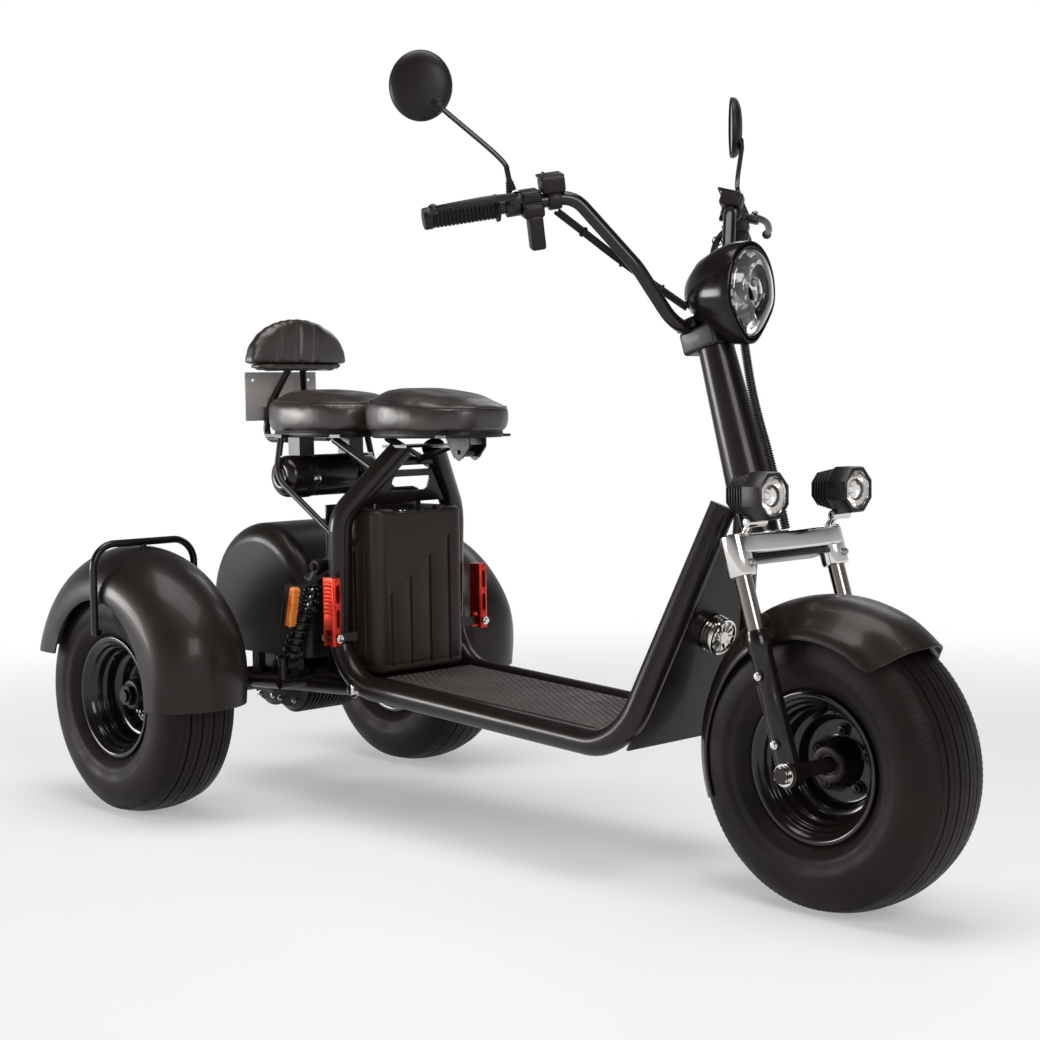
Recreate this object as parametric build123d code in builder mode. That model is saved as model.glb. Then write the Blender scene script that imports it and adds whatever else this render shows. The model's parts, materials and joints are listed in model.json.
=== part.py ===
"""Electric three-wheel scooter: one wheel in front, two behind, millimetres, +X forward, +Z up.

The origin is on the ground, midway between the front of the front tyre and the back of the rear fenders.
"""
from build123d import *
from math import cos, radians, sin, sqrt
import os

os.makedirs("parts", exist_ok=True)

# ---- driving dimensions -------------------------------------------------------------------------------
wheelbase = 1400.0
track = 692.0                 # between the middles of the rear tyres
tyre_diameter = 452.0
tyre_width = 165.0
tread_width = 118.0
rim_flange_diameter = 234.0
bead_diameter = 208.0         # where the tyre seats on the rim
rim_width = 130.0
rim_wall = 5.0
hub_diameter = 64.0
spindle_diameter = 24.0       # on which a rear wheel turns
front_spindle_diameter = 15.0

rail_diameter = 44.0
battery_side_gap = 9.0        # from the battery to the rail beside it
rail_seat_half_gap = 38.0     # the same, at the seat
rail_head_half_gap = 30.0     # the same, at the head tube
floor_front_setback = 322.0   # from the front axle back to where the rails turn up
floor_front_height = 224.0
floor_back = 356.0            # where they turn up behind the rider's feet
floor_back_height = 262.0
rail_shoulder_height = 572.0  # where they turn in towards the seat
floor_thickness = 6.0
mat_thickness = 3.0            # of the tread mat ahead of the battery
panel_thickness = 4.0

rake = 17.0                   # degrees, of the steering axis
fork_offset = 39.0            # the front axle ahead of the steering axis
leg_half_gap = 116.0          # from the middle of the scooter to the middle of a fork leg
leg_diameter = 34.0
stanchion_diameter = 27.0
steer_height = 548.0          # of the fork crown's middle on the steering axis
crown_height = 34.0
head_tube_length = 74.0
head_tube_diameter = 58.0
steerer_diameter = 30.0
column_length = 226.0
column_top_diameter = 58.0
column_foot_diameter = 74.0

bar_diameter = 22.2
grip_diameter = 33.0
grip_length = 118.0
mirror_diameter = 125.0
mirror_thickness = 22.0

seat_length = 296.0
seat_width = 236.0
seat_thickness = 92.0
seat_underside = 722.0        # height of the underside of both cushions
rear_seat_length = 286.0
backrest_width = 246.0
backrest_height = 96.0
backrest_thickness = 56.0
battery_length = 140.0
battery_width = 218.0
battery_height = 306.0

rear_fender_width = 204.0
rear_fender_radius = 288.0
front_fender_width = 184.0
front_fender_radius = 262.0
fender_wall = 4.0
rear_crown_depth = 90.0       # from the crown of a rear fender down to its straight sides
rear_tail_height = 74.54      # of the rear fender's tail above the axle
rear_front_height = -6.0      # of its front edge above the axle
wheel_opening_length = 330.0  # of the arched opening in the sides of a rear fender
wheel_opening_height = 190.0  # of that opening's top above the axle
axle_beam_diameter = 48.0
motor_diameter = 150.0
motor_length = 150.0
swingarm_diameter = 32.0
canister_diameter = 82.0
canister_length = 232.0
peg_length = 126.0
peg_width = 34.0
peg_thickness = 20.0

fit_gap = 0.3                 # between pieces that turn or slide on one another
running_gap = 6.0             # between pieces that move past one another

# ---- places worked out from them ----------------------------------------------------------------------
tyre_radius = tyre_diameter / 2
axle_height = tyre_radius
fender_reach = sqrt(rear_fender_radius ** 2 - rear_tail_height ** 2)
rear_x = -(wheelbase + tyre_radius - fender_reach) / 2
front_x = rear_x + wheelbase
rear_wheel_y = track / 2
rail_radius = rail_diameter / 2
rail_half_gap = battery_width / 2 + battery_side_gap + rail_radius  # from the middle to the middle of a rail
floor_front = wheelbase - floor_front_setback                       # the same point, ahead of the rear axle
rail_inner = rail_half_gap - rail_radius

rake_sin, rake_cos = sin(radians(rake)), cos(radians(rake))
axle_drop = (steer_height - axle_height + fork_offset * rake_sin) / rake_cos
crown_x = front_x - fork_offset * rake_cos - axle_drop * rake_sin
steer_plane = Plane(
    origin=(crown_x, 0, steer_height), x_dir=(rake_cos, 0, rake_sin), z_dir=(-rake_sin, 0, rake_cos)
)
head_tube_foot = crown_height / 2 + running_gap
head_tube_top = head_tube_foot + head_tube_length
column_foot = head_tube_top + running_gap
column_top = column_foot + column_length


def behind(distance, height, side=0.0):
    """A point that far ahead of the rear axle, at that height above the ground."""
    return (rear_x + distance, side, height)


def steered(forward, up, side=0.0):
    """A point measured from the crown's middle, along and ahead of the steering axis."""
    return steer_plane.from_local_coords((forward, side, up))


def save(piece, name):
    """Name a finished piece and write it to its own file."""
    piece.part.label = name
    export_step(piece.part, f"parts/{name}.step")


def tube(points, radii, diameter):
    """A round bar along straight runs joined by arcs."""
    with BuildPart() as bar:
        with BuildLine() as path:
            FilletPolyline(*points, radius=radii)
        with BuildSketch(Plane(origin=path.line @ 0, z_dir=path.line % 0)):
            Circle(diameter / 2)
        sweep(path=path.line)
    return bar


def rod(start, end, diameter):
    """A straight round bar between two points."""
    start, end = Vector(start), Vector(end)
    with BuildPart() as bar:
        with BuildSketch(Plane(origin=start, z_dir=end - start)):
            Circle(diameter / 2)
        extrude(amount=(end - start).length)
    return bar


def cross_rod(centre, length, diameter):
    """A round bar across the scooter, centred on a point."""
    x, y, z = centre
    return rod((x, y - length / 2, z), (x, y + length / 2, z), diameter)


def joined(*pieces):
    """Several pieces as one."""
    with BuildPart() as whole:
        for piece in pieces:
            add(piece.part)
    return whole


def less(piece, *others):
    """A piece cut to fit around its neighbours."""
    with BuildPart() as cut:
        add(piece.part)
        for other in others:
            add(other.part, mode=Mode.SUBTRACT)
    return cut


def other_side(piece):
    """The same piece on the other side of the scooter."""
    with BuildPart() as twin:
        add(piece.part)
        mirror(about=Plane.XZ, mode=Mode.REPLACE)
    return twin


def both_sides(piece):
    """A piece and its twin, in one node."""
    with BuildPart() as pair:
        add(piece.part)
        mirror(about=Plane.XZ)
    return pair


# ---- wheels -------------------------------------------------------------------------------------------
def tyre(x, y):
    """A wide, low tyre with round shoulders, spun about the wheel's axle."""
    bead = bead_diameter / 2
    bead_half = rim_width / 2 - 8
    bulge = (tyre_radius + bead) / 2
    with BuildPart() as ring:
        with BuildSketch(Plane(origin=(x, y, axle_height), x_dir=(0, 1, 0), z_dir=(1, 0, 0))) as section:
            with BuildLine():
                Polyline((-bead_half, rim_flange_diameter / 2 + 1), (-bead_half, bead), (bead_half, bead),
                         (bead_half, rim_flange_diameter / 2 + 1))
                Spline((bead_half, rim_flange_diameter / 2 + 1), (tyre_width / 2, bulge),
                       (tread_width / 2, tyre_radius - 9), tangents=((1, 0.35), (-1, 0.75)))
                Spline((tread_width / 2, tyre_radius - 9), (0, tyre_radius), (-tread_width / 2, tyre_radius - 9),
                       tangents=((-1, 0.45), (-1, -0.45)))
                Spline((-tread_width / 2, tyre_radius - 9), (-tyre_width / 2, bulge),
                       (-bead_half, rim_flange_diameter / 2 + 1), tangents=((-1, -0.75), (1, -0.35)))
            make_face()
        revolve(axis=Axis((x, y, axle_height), (0, 1, 0)))
    return ring


def rim(x, y, outward, bore):
    """A pressed steel rim with a stepped dish; outward is +1 when the open side faces +Y."""
    bead = bead_diameter / 2
    half = rim_width / 2
    flange = rim_flange_diameter / 2
    dish = -18.0
    with BuildPart() as disc:
        with BuildSketch(Plane(origin=(x, y, axle_height), x_dir=(0, outward, 0), z_dir=(outward, 0, 0))):
            with BuildLine():
                Polyline(
                    (half, flange), (half - 7, flange), (half - 7, bead), (-half + 7, bead), (-half + 7, flange),
                    (-half, flange), (-half, bead - rim_wall), (dish - 6, bead - rim_wall), (dish - 6, 70),
                    (dish - 12, 58), (dish - 12, hub_diameter / 2), (-half + 4, hub_diameter / 2),
                    (-half + 4, bore / 2 + fit_gap), (dish + 42, bore / 2 + fit_gap),
                    (dish + 42, hub_diameter / 2), (dish, hub_diameter / 2), (dish, 62),
                    (dish + 12, 74), (dish + 12, bead - rim_wall - 9), (half - 22, bead - rim_wall - 9),
                    (half - 12, bead - rim_wall), (half, bead - rim_wall), close=True,
                )
            make_face()
        revolve(axis=Axis((x, y, axle_height), (0, 1, 0)))
    return disc


save(tyre(front_x, 0), "front_tyre")
save(rim(front_x, 0, -1, front_spindle_diameter), "front_rim")
for name, side in (("right", -1), ("left", 1)):
    save(tyre(rear_x, side * rear_wheel_y), f"rear_tyre_{name}")
    save(rim(rear_x, side * rear_wheel_y, side, spindle_diameter), f"rear_rim_{name}")

# ---- frame rails, head tube and panels ----------------------------------------------------------------
rail_top = seat_underside - 24
rail_corners = [
    behind(430, rail_top, rail_seat_half_gap),
    behind(floor_back + 12, rail_shoulder_height, rail_half_gap),
    behind(floor_back, floor_back_height, rail_half_gap),
    behind(floor_front, floor_front_height, rail_half_gap),
    (crown_x - 58, rail_head_half_gap, steer_height + 66),
]
rail_bar = tube(rail_corners, [70, 105, 95], rail_diameter)

with BuildPart() as head_room:
    with BuildSketch(steer_plane.offset(head_tube_foot - 60)):
        Circle(head_tube_diameter / 2)
    extrude(amount=head_tube_length + 160)

with BuildPart() as head_tube:
    with BuildSketch(steer_plane.offset(head_tube_foot)):
        Circle(head_tube_diameter / 2)
        Circle(steerer_diameter / 2 + fit_gap, mode=Mode.SUBTRACT)
    extrude(amount=head_tube_length)
save(head_tube, "head_tube")

frame_rail_left = less(rail_bar, head_room)
frame_rail_right = other_side(frame_rail_left)
rails = joined(frame_rail_left, frame_rail_right)


def side_plate(points, half_width):
    """A plate drawn from the side of the scooter, across its middle."""
    with BuildPart() as plate:
        with BuildSketch(Plane.XZ):
            with BuildLine():
                Polyline(*[(rear_x + distance, height) for distance, height in points], close=True)
            make_face()
        extrude(amount=half_width, both=True)
    return plate


floor_slope = (floor_front_height - floor_back_height) / (floor_front - floor_back)


def run_height(distance, lift=0.0):
    """Height above the rails' middle line, along their bottom run."""
    return floor_back_height + floor_slope * (distance - floor_back) + lift


floor_lift = 12.0
floor_start, floor_end = floor_back - 76, floor_front - 46


def floor_layer(start, end, low, high, half_width):
    """A flat layer that follows the rails' slope, its faces that far above their middle line."""
    return side_plate([
        (start, run_height(start, low)), (end, run_height(end, low)),
        (end, run_height(end, high)), (start, run_height(start, high)),
    ], half_width)


battery_front = floor_back + 81
battery_back = battery_front - battery_length
mat_gap = 8.0                 # from the battery and from the rails to the mat
floor_plate = less(joined(
    floor_layer(floor_start, floor_end, floor_lift - floor_thickness, floor_lift, rail_half_gap),
    floor_layer(battery_front + mat_gap, floor_front - 78, floor_lift - 1, floor_lift + mat_thickness,
                rail_inner - mat_gap + 2),
), rails)
save(floor_plate, "floor_plate")

# The front panel closes the gap between the rails behind the front wheel.
leg_foot = Vector(*behind(floor_front, floor_front_height))
leg_top = Vector(crown_x - 58, 0, steer_height + 66)
leg_run = (leg_top - leg_foot).normalized()
leg_front = Vector(leg_run.Z, 0, -leg_run.X)
leg_length = (leg_top - leg_foot).length
leg_plane = Plane(origin=leg_foot + leg_front * 10, x_dir=(0, 1, 0), z_dir=leg_front)
panel_foot, panel_top = 4.0, leg_length - 64
spread = (rail_half_gap - rail_head_half_gap) / leg_length
with BuildPart() as panel_blank:
    with BuildSketch(leg_plane):
        with BuildLine():
            Polyline(
                (-rail_half_gap, panel_foot), (rail_half_gap, panel_foot),
                (rail_half_gap - spread * panel_top, panel_top),
                (-rail_half_gap + spread * panel_top, panel_top), close=True,
            )
        make_face()
    extrude(amount=panel_thickness)
front_panel = less(panel_blank, rails, head_room)

# The rear panel stands behind the battery; the bay panel fills the fork of the rails above it.
battery_foot = run_height(battery_back, floor_lift) + fit_gap
rear_panel = side_plate([
    (battery_back - 10, run_height(battery_back - 10, floor_lift)),
    (battery_back - 6, run_height(battery_back - 6, floor_lift)),
    (battery_back - 6, battery_foot + battery_height + 6), (battery_back - 10, battery_foot + battery_height + 6),
], rail_inner - 6)

# ---- battery ------------------------------------------------------------------------------------------
battery_middle = (battery_front + battery_back) / 2
battery_top = battery_foot + battery_height
groove_width, groove_depth = 5.0, 3.0
groove_tops = (0.45, 0.62, 0.76, 0.78)
with BuildPart() as battery_case:
    with BuildSketch(Plane(origin=behind(battery_middle, battery_foot))):
        RectangleRounded(battery_length, battery_width, 24)
    extrude(amount=battery_height)
    fillet(battery_case.faces().sort_by(Axis.Z)[-1].edges(), 14)
    for place, top in zip((-78, -26, 26, 78), groove_tops):
        with BuildSketch(Plane(origin=behind(battery_front, battery_foot), x_dir=(0, 1, 0), z_dir=(1, 0, 0))):
            with Locations((place, (14 + top * battery_height) / 2)):
                SlotOverall(top * battery_height - 14, groove_width, rotation=90)
        extrude(amount=-groove_depth, mode=Mode.SUBTRACT)

handle_half, handle_rise, handle_bar = 50.0, 30.0, 16.0
battery_handle = tube([
    behind(battery_middle, battery_top, -handle_half), behind(battery_middle, battery_top + handle_rise, -handle_half),
    behind(battery_middle, battery_top + handle_rise, handle_half), behind(battery_middle, battery_top, handle_half),
], 18, handle_bar)
save(joined(battery_case, battery_handle), "battery")

# The bay panel closes the fork of the rails above the battery, with a window for the lock.
bay_lean = Vector(28, 0, 70).normalized()
bay_face = Vector(bay_lean.Z, 0, -bay_lean.X)
bay_foot, bay_head = 12.0, 78.0
with BuildPart() as bay_blank:
    with BuildSketch(Plane(origin=behind(384, battery_top), x_dir=(0, 1, 0), z_dir=bay_face)):
        with BuildLine():
            Polyline((-118, bay_foot), (118, bay_foot), (54, bay_head), (-54, bay_head), close=True)
        make_face()
        with Locations((0, 50)):
            RectangleRounded(92, 30, 6, mode=Mode.SUBTRACT)
    extrude(amount=panel_thickness)
bay_panel = less(bay_blank, rails)
save(joined(front_panel, rear_panel, bay_panel), "frame_panels")

# ---- seats --------------------------------------------------------------------------------------------
front_seat_middle = 492.0
seat_gap = 16.0
rear_seat_middle = front_seat_middle - seat_length / 2 - seat_gap - rear_seat_length / 2
hinge_distance, hinge_height = 567.0, seat_underside - 32
hinge_pin_diameter, hinge_boss_diameter, tongue_half = 8.0, 18.0, 16.0
seat_plate_thickness = 5.0


def cushion(middle, length, width, corner):
    """A plain cushion that stands for an upholstered seat."""
    with BuildPart() as pad:
        with BuildSketch(Plane(origin=behind(middle, seat_underside))):
            RectangleRounded(length, width, corner)
        extrude(amount=seat_thickness)
        fillet(pad.faces().sort_by(Axis.Z)[-1].edges(), 20)
    return pad


save(cushion(front_seat_middle, seat_length, seat_width, 84), "front_seat")
save(cushion(rear_seat_middle, rear_seat_length, seat_width, 76), "rear_seat")

seat_tongue = side_plate([
    (404, rail_top), (hinge_distance + 9, rail_top), (hinge_distance + 9, rail_top + 5), (404, rail_top + 5),
], tongue_half)
seat_deck = side_plate([(400, rail_top), (470, rail_top), (470, rail_top + 5), (400, rail_top + 5)], 62)
hinge_point = behind(hinge_distance, hinge_height)
hinge_boss = cross_rod(hinge_point, 2 * tongue_half, hinge_boss_diameter)
hinge_bore = cross_rod(hinge_point, 4 * tongue_half, hinge_pin_diameter + 2 * fit_gap)
bar_height = rail_top - 26
bar_half = rail_seat_half_gap + 20
cross_bar = cross_rod(behind(424, bar_height), 2 * bar_half, 16)
seat_brace = rod(behind(424, bar_height), behind(520, rail_top + 1), 13)
seat_frame = less(joined(seat_tongue, seat_deck, hinge_boss, cross_bar, seat_brace), hinge_bore, rails, bay_panel)
save(seat_frame, "seat_frame")

seat_base = side_plate([
    (front_seat_middle - 92, seat_underside - seat_plate_thickness),
    (front_seat_middle + 108, seat_underside - seat_plate_thickness),
    (front_seat_middle + 108, seat_underside), (front_seat_middle - 92, seat_underside),
], 80)
ear_shape = [
    (hinge_distance - 34, seat_underside - seat_plate_thickness), (hinge_distance - 12, hinge_height - 10),
    (hinge_distance, hinge_height - 16), (hinge_distance + 12, hinge_height - 10),
    (hinge_distance + 30, seat_underside - 22), (hinge_distance + 30, seat_underside - seat_plate_thickness),
]
ear_gap = side_plate([(400, 640), (700, 640), (700, 717), (400, 717)], tongue_half + 2)
ears = less(side_plate(ear_shape, tongue_half + 6), ear_gap)
hinge_pin = cross_rod(hinge_point, 2 * tongue_half + 20, hinge_pin_diameter)
save(joined(seat_base, ears, hinge_pin), "seat_plate")

# The backrest is a half disc on two struts that reach down behind the rear seat.
backrest_distance, backrest_foot = 58.0, 858.0
with BuildPart() as backrest:
    with BuildSketch(Plane(origin=behind(backrest_distance, backrest_foot), x_dir=(0, 1, 0), z_dir=(1, 0, 0))):
        with BuildLine():
            EllipticalCenterArc((0, 0), backrest_width / 2, backrest_height, 0, arc_size=180)
            Line((-backrest_width / 2, 0), (backrest_width / 2, 0))
        make_face()
    extrude(amount=backrest_thickness / 2, both=True)
    fillet(backrest.edges().filter_by(GeomType.ELLIPSE), 14)
save(backrest, "backrest")

rear_deck_height = seat_underside - 6
strut_diameter = 14.0
strut = tube([
    behind(backrest_distance, backrest_foot - 1, 16), behind(22, 772, 46), behind(20, rear_deck_height - 5, 52),
    behind(92, rear_deck_height - 5, 52),
], [40, 24], strut_diameter)
backrest_frame = less(both_sides(strut), backrest)

plate_width, plate_height, plate_foot = 178.0, 98.0, 748.0
plate_board = side_plate([(2, plate_foot), (5, plate_foot), (5, plate_foot + plate_height),
                          (2, plate_foot + plate_height)], plate_width / 2)
plate_arm = side_plate([(5, 776), (24, 776), (24, 796), (5, 796)], 52)
plate_hole_spacing, plate_hole_diameter = 140.0, 6.4
plate_bolt_holes = both_sides(rod(behind(0, plate_foot + 82, plate_hole_spacing / 2),
                                  behind(8, plate_foot + 82, plate_hole_spacing / 2), plate_hole_diameter))
plate_panel = less(joined(plate_board, plate_arm), backrest_frame, plate_bolt_holes)
save(plate_panel, "plate_panel")

# ---- canister and what holds it and the rear seat -----------------------------------------------------
canister_point = behind(150, 640)
canister_bar = cross_rod(canister_point, canister_length, canister_diameter)
with BuildPart() as canister:
    add(canister_bar.part)
    chamfer(canister.edges().filter_by(GeomType.CIRCLE), 7)
save(canister, "canister")
rear_deck = side_plate([
    (60, rear_deck_height), (300, rear_deck_height), (300, seat_underside), (60, seat_underside),
], 84)
post = side_plate([(132, 640), (168, 640), (168, rear_deck_height + 1), (132, rear_deck_height + 1)], 80)
post_room = side_plate([(120, 600), (180, 600), (180, rear_deck_height), (120, rear_deck_height)], 44)
stay = tube([
    behind(146, rear_deck_height + 1, 108), behind(150, 640, 124), behind(350, 520, 124),
], 60, 13)
strut_to_rail = rod(behind(262, rear_deck_height - 4, 66), behind(404, 652, 74), 16)
deck_tab = side_plate([
    (136, rear_deck_height), (158, rear_deck_height), (158, seat_underside), (136, seat_underside),
], 116)
rear_seat_frame = less(
    joined(rear_deck, deck_tab, less(post, post_room), both_sides(joined(stay, strut_to_rail)), backrest_frame),
    rails, canister_bar, bay_panel,
)
save(rear_seat_frame, "rear_seat_frame")

# ---- rear axle, swingarm and drive --------------------------------------------------------------------
beam_setback = 41.0           # from the inner edge of a rear rim to the beam's end
beam_half = rear_wheel_y - rim_width / 2 - beam_setback
hub_inner, hub_outer = rear_wheel_y - rim_width / 2 + 4, rear_wheel_y + 24
nut_across, nut_height = 36.0, 14.0
axle_point = behind(0, axle_height)
beam = cross_rod(axle_point, 2 * beam_half, axle_beam_diameter)
spindle = cross_rod(axle_point, 2 * (hub_outer + nut_height + 6), spindle_diameter)
sleeve_half = hub_inner - fit_gap
sleeve = cross_rod(axle_point, 2 * sleeve_half, spindle_diameter + 12)


def hex_nut(x, y, z, across, height):
    """A nut lying across the scooter, its inner face at y and growing away from the middle."""
    outward = 1 if y > 0 else -1
    with BuildPart() as nut:
        with BuildSketch(Plane(origin=(x, y, z), x_dir=(1, 0, 0), z_dir=(0, outward, 0))):
            RegularPolygon(across / 2, 6, major_radius=False)
        extrude(amount=height)
    return nut


axle_nut = both_sides(hex_nut(rear_x, hub_outer + fit_gap, axle_height, nut_across, nut_height))
save(joined(beam, sleeve, spindle, axle_nut), "rear_axle")
axle_space = joined(beam, sleeve)

pivot_distance, pivot_height, arm_side = 412.0, 252.0, 96.0
pivot_tube = cross_rod(behind(pivot_distance, pivot_height), 2 * rail_inner, 24)
arm = rod(behind(409, 247, arm_side), behind(4, axle_height, arm_side), swingarm_diameter)
shock_foot, shock_head = behind(215, 286, 150), behind(312, 476, 150)
cross_tube = cross_rod(behind(215, 246), 2 * 176, 20)
shock_pin_diameter = 12.0
foot_pin = rod(behind(215, 286, 134), behind(215, 286, 172), shock_pin_diameter)
foot_lug = rod(behind(215, 250, 168), behind(215, 294, 168), 15)
swingarm = less(joined(pivot_tube, cross_tube, both_sides(joined(arm, foot_pin, foot_lug))), axle_space)
save(swingarm, "swingarm")

# The motor lies beside the differential, on the beam.
motor_point = behind(102, axle_height + 6)
diff_diameter, diff_length = 124.0, 104.0
with BuildPart() as diff_body:
    add(cross_rod(axle_point, diff_length, diff_diameter).part)
    chamfer(diff_body.edges().filter_by(GeomType.CIRCLE), 12)
with BuildPart() as motor_body:
    add(cross_rod(motor_point, motor_length, motor_diameter - 14).part)
    chamfer(motor_body.edges().filter_by(GeomType.CIRCLE), 6)
drive_motor = less(joined(diff_body, motor_body), axle_space)
save(drive_motor, "drive_motor")

# ---- drive cover --------------------------------------------------------------------------------------
# An arched shell over the drive, open below; four feet seat it on the swingarm.
cover_length, cover_width, cover_wall = 330.0, 216.0, 3.0
cover_distance = 48.0         # of its middle ahead of the axle
cover_foot_lift = 60.0        # of its lower edge above the axle
cover_crown_lift = 318.0      # of its crown above the axle
cover_round = 36.0


def cover_body(inset, drop=0.0):
    """The cover's outer shape, or with an inset the room inside it; drop lengthens it below."""
    half, low = cover_length / 2 - inset, axle_height + cover_foot_lift - drop
    spring = axle_height + cover_crown_lift - cover_length / 2
    middle_x = rear_x + cover_distance
    with BuildPart() as body:
        with BuildSketch(Plane.XZ):
            with BuildLine():
                Polyline((middle_x + half, spring), (middle_x + half, low), (middle_x - half, low),
                         (middle_x - half, spring))
                ThreePointArc((middle_x - half, spring), (middle_x, spring + half), (middle_x + half, spring))
            make_face()
        extrude(amount=cover_width / 2 - inset, both=True)
        side_edges = body.edges().filter_by(
            lambda edge: abs(abs(edge.center().Y) - (cover_width / 2 - inset)) < 1e-3
            and edge.center().Z > low + 1
        )
        fillet(side_edges, cover_round - inset)
    return body


cover_feet = []
for foot_distance in (44, 172):
    share = (foot_distance - 4) / 405
    foot_y, arm_z = arm_side + 8, axle_height + (247 - axle_height) * share
    with BuildPart() as cover_foot:
        with Locations((rear_x + foot_distance, foot_y - 4, (arm_z + axle_height + cover_foot_lift + 20) / 2)):
            Box(22, 16, axle_height + cover_foot_lift + 20 - arm_z)
    cover_feet.append(cover_foot)
arm_room = rod(behind(409, 247, arm_side), behind(4, axle_height, arm_side), swingarm_diameter + 2 * fit_gap)
cover_shell = less(cover_body(0), cover_body(cover_wall, 10))
cover_feet = both_sides(less(joined(*cover_feet), arm_room))
drive_cover = joined(cover_shell, cover_feet)
save(drive_cover, "drive_cover")

# ---- shock absorbers ----------------------------------------------------------------------------------
spring_diameter, eye_diameter = 40.0, 26.0
foot, head = Vector(*shock_foot), Vector(*shock_head)
shock_run = (head - foot).normalized()
shock_body = joined(
    rod(foot, head, 16), rod(foot + shock_run * 22, head - shock_run * 34, spring_diameter),
    cross_rod(shock_foot, 22, eye_diameter), cross_rod(shock_head, 22, eye_diameter),
)
head_pin = rod(behind(312, 476, 134), behind(312, 476, 168), shock_pin_diameter)
with BuildPart() as head_lug:
    with BuildSketch(Plane(origin=(0, 133.5, 0), x_dir=(1, 0, 0), z_dir=(0, 1, 0))):
        with BuildLine():
            Polyline(*[(rear_x + distance, -height) for distance, height in (
                (300, 470), (312, 462), (372, 440), (372, 520), (312, 490), (300, 484))], close=True)
        make_face()
    extrude(amount=5)
shock_bracket = joined(head_lug, head_pin)
shock_pins = both_sides(joined(foot_pin, foot_lug, shock_bracket))
shock_absorbers = less(both_sides(shock_body), shock_pins)
save(shock_absorbers, "shock_absorbers")

# ---- turn signals and folding pegs --------------------------------------------------------------------
signal_centre = Vector(*behind(288, 404, 200))
signal_lean = Vector(18, 0, 78).normalized()
with BuildPart() as signal:
    with BuildSketch(Plane(origin=signal_centre, x_dir=(0, 1, 0), z_dir=signal_lean)):
        RectangleRounded(18, 30, 4)
    extrude(amount=40, both=True)
signal_arm = rod(signal_centre + signal_lean * 26, behind(352, 474, 146), 10)
turn_signals = both_sides(less(joined(signal, signal_arm), frame_rail_left))
save(turn_signals, "turn_signals")

peg_side, peg_distance, peg_hinge_height = 182.0, 392.0, 350.0
peg_pin_diameter = 10.0


def peg(side):
    """A folding foot peg, standing upright beside its rail; side is -1 on the right."""
    with BuildPart() as bar:
        with BuildSketch(Plane(origin=behind(peg_distance, peg_hinge_height - 14, side * peg_side))):
            RectangleRounded(peg_width, peg_thickness, 4)
        extrude(amount=peg_length)
        with BuildSketch(Plane(origin=behind(peg_distance, 0, side * peg_side), x_dir=(0, 1, 0), z_dir=(1, 0, 0))):
            with Locations((0, peg_hinge_height + 36), (0, peg_hinge_height + 82)):
                SlotOverall(34, 8, rotation=90)
        extrude(amount=peg_width, both=True, mode=Mode.SUBTRACT)
    return bar


peg_knuckle = Vector(*behind(peg_distance, peg_hinge_height, peg_side))
along = Vector(1, 0, 0)
peg_bore = rod(peg_knuckle - along * 40, peg_knuckle + along * 40, peg_pin_diameter + 2 * fit_gap)
peg_slot_half = 8.0
with BuildPart() as peg_slot:
    with BuildSketch(Plane(origin=behind(peg_distance, peg_hinge_height - 40, peg_side))):
        Rectangle(2 * peg_slot_half, 60)
    extrude(amount=40 + 16)
with BuildPart() as peg_lug:
    with BuildSketch(Plane(origin=behind(peg_distance, peg_hinge_height, peg_side), x_dir=(0, 1, 0), z_dir=(1, 0, 0))):
        Circle(8)
        with Locations((-26, 0)):
            Rectangle(52, 16)
    extrude(amount=peg_slot_half - 1, both=True)
peg_arm = rod(behind(peg_distance, peg_hinge_height, peg_side - 44), behind(floor_back, peg_hinge_height, rail_half_gap), 16)
peg_pin = rod(peg_knuckle - along * 21, peg_knuckle + along * 21, peg_pin_diameter)
for name, side in (("right", -1), ("left", 1)):
    sided = joined if side > 0 else other_side
    save(less(peg(side), sided(peg_bore), sided(peg_slot)), f"footpeg_{name}")
left_rail = joined(frame_rail_left, shock_bracket, peg_lug, peg_arm, peg_pin)
save(left_rail, "frame_rail_left")
save(other_side(left_rail), "frame_rail_right")

# ---- fenders ------------------------------------------------------------------------------------------
fender_sag = 16.0             # from the crown of a fender down to its shoulder
shoulder_round = 34.0


def fender_arch(x, y, width, radius, skirt, start, sweep, rounding):
    """A solid arch over a wheel: start is its rear edge's angle above +X, sweep runs forward from there."""
    backwards = Plane(
        origin=(x, y, axle_height), x_dir=(0, 1, 0), z_dir=(sin(radians(start)), 0, -cos(radians(start)))
    )
    with BuildPart() as arch:
        with BuildSketch(backwards):
            with BuildLine() as outline:
                Line((-width / 2, radius - fender_sag), (-width / 2, skirt))
                Line((-width / 2, skirt), (width / 2, skirt))
                Line((width / 2, skirt), (width / 2, radius - fender_sag))
                ThreePointArc((width / 2, radius - fender_sag), (0, radius), (-width / 2, radius - fender_sag))
            make_face()
        revolve(axis=Axis((x, y, axle_height), (0, 1, 0)), revolution_arc=sweep)
        shoulders = arch.edges().filter_by(
            lambda edge: edge.geom_type == GeomType.CIRCLE and abs(edge.radius - (radius - fender_sag)) < 1e-3
        )
        fillet(shoulders, rounding)
    return arch


def fender(x, y, width, radius, skirts):
    """A thin fender; each skirt is its inner radius, its rear edge's angle and the angle that it runs."""
    outer = joined(*[fender_arch(x, y, width, radius, *skirt, shoulder_round) for skirt in skirts])
    inner = joined(*[
        fender_arch(x, y, width - 2 * fender_wall, radius - fender_wall, skirt - 30, start + 4, sweep + 8,
                    shoulder_round - fender_wall)
        for skirt, start, sweep in skirts
    ])
    return less(outer, inner)


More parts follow.
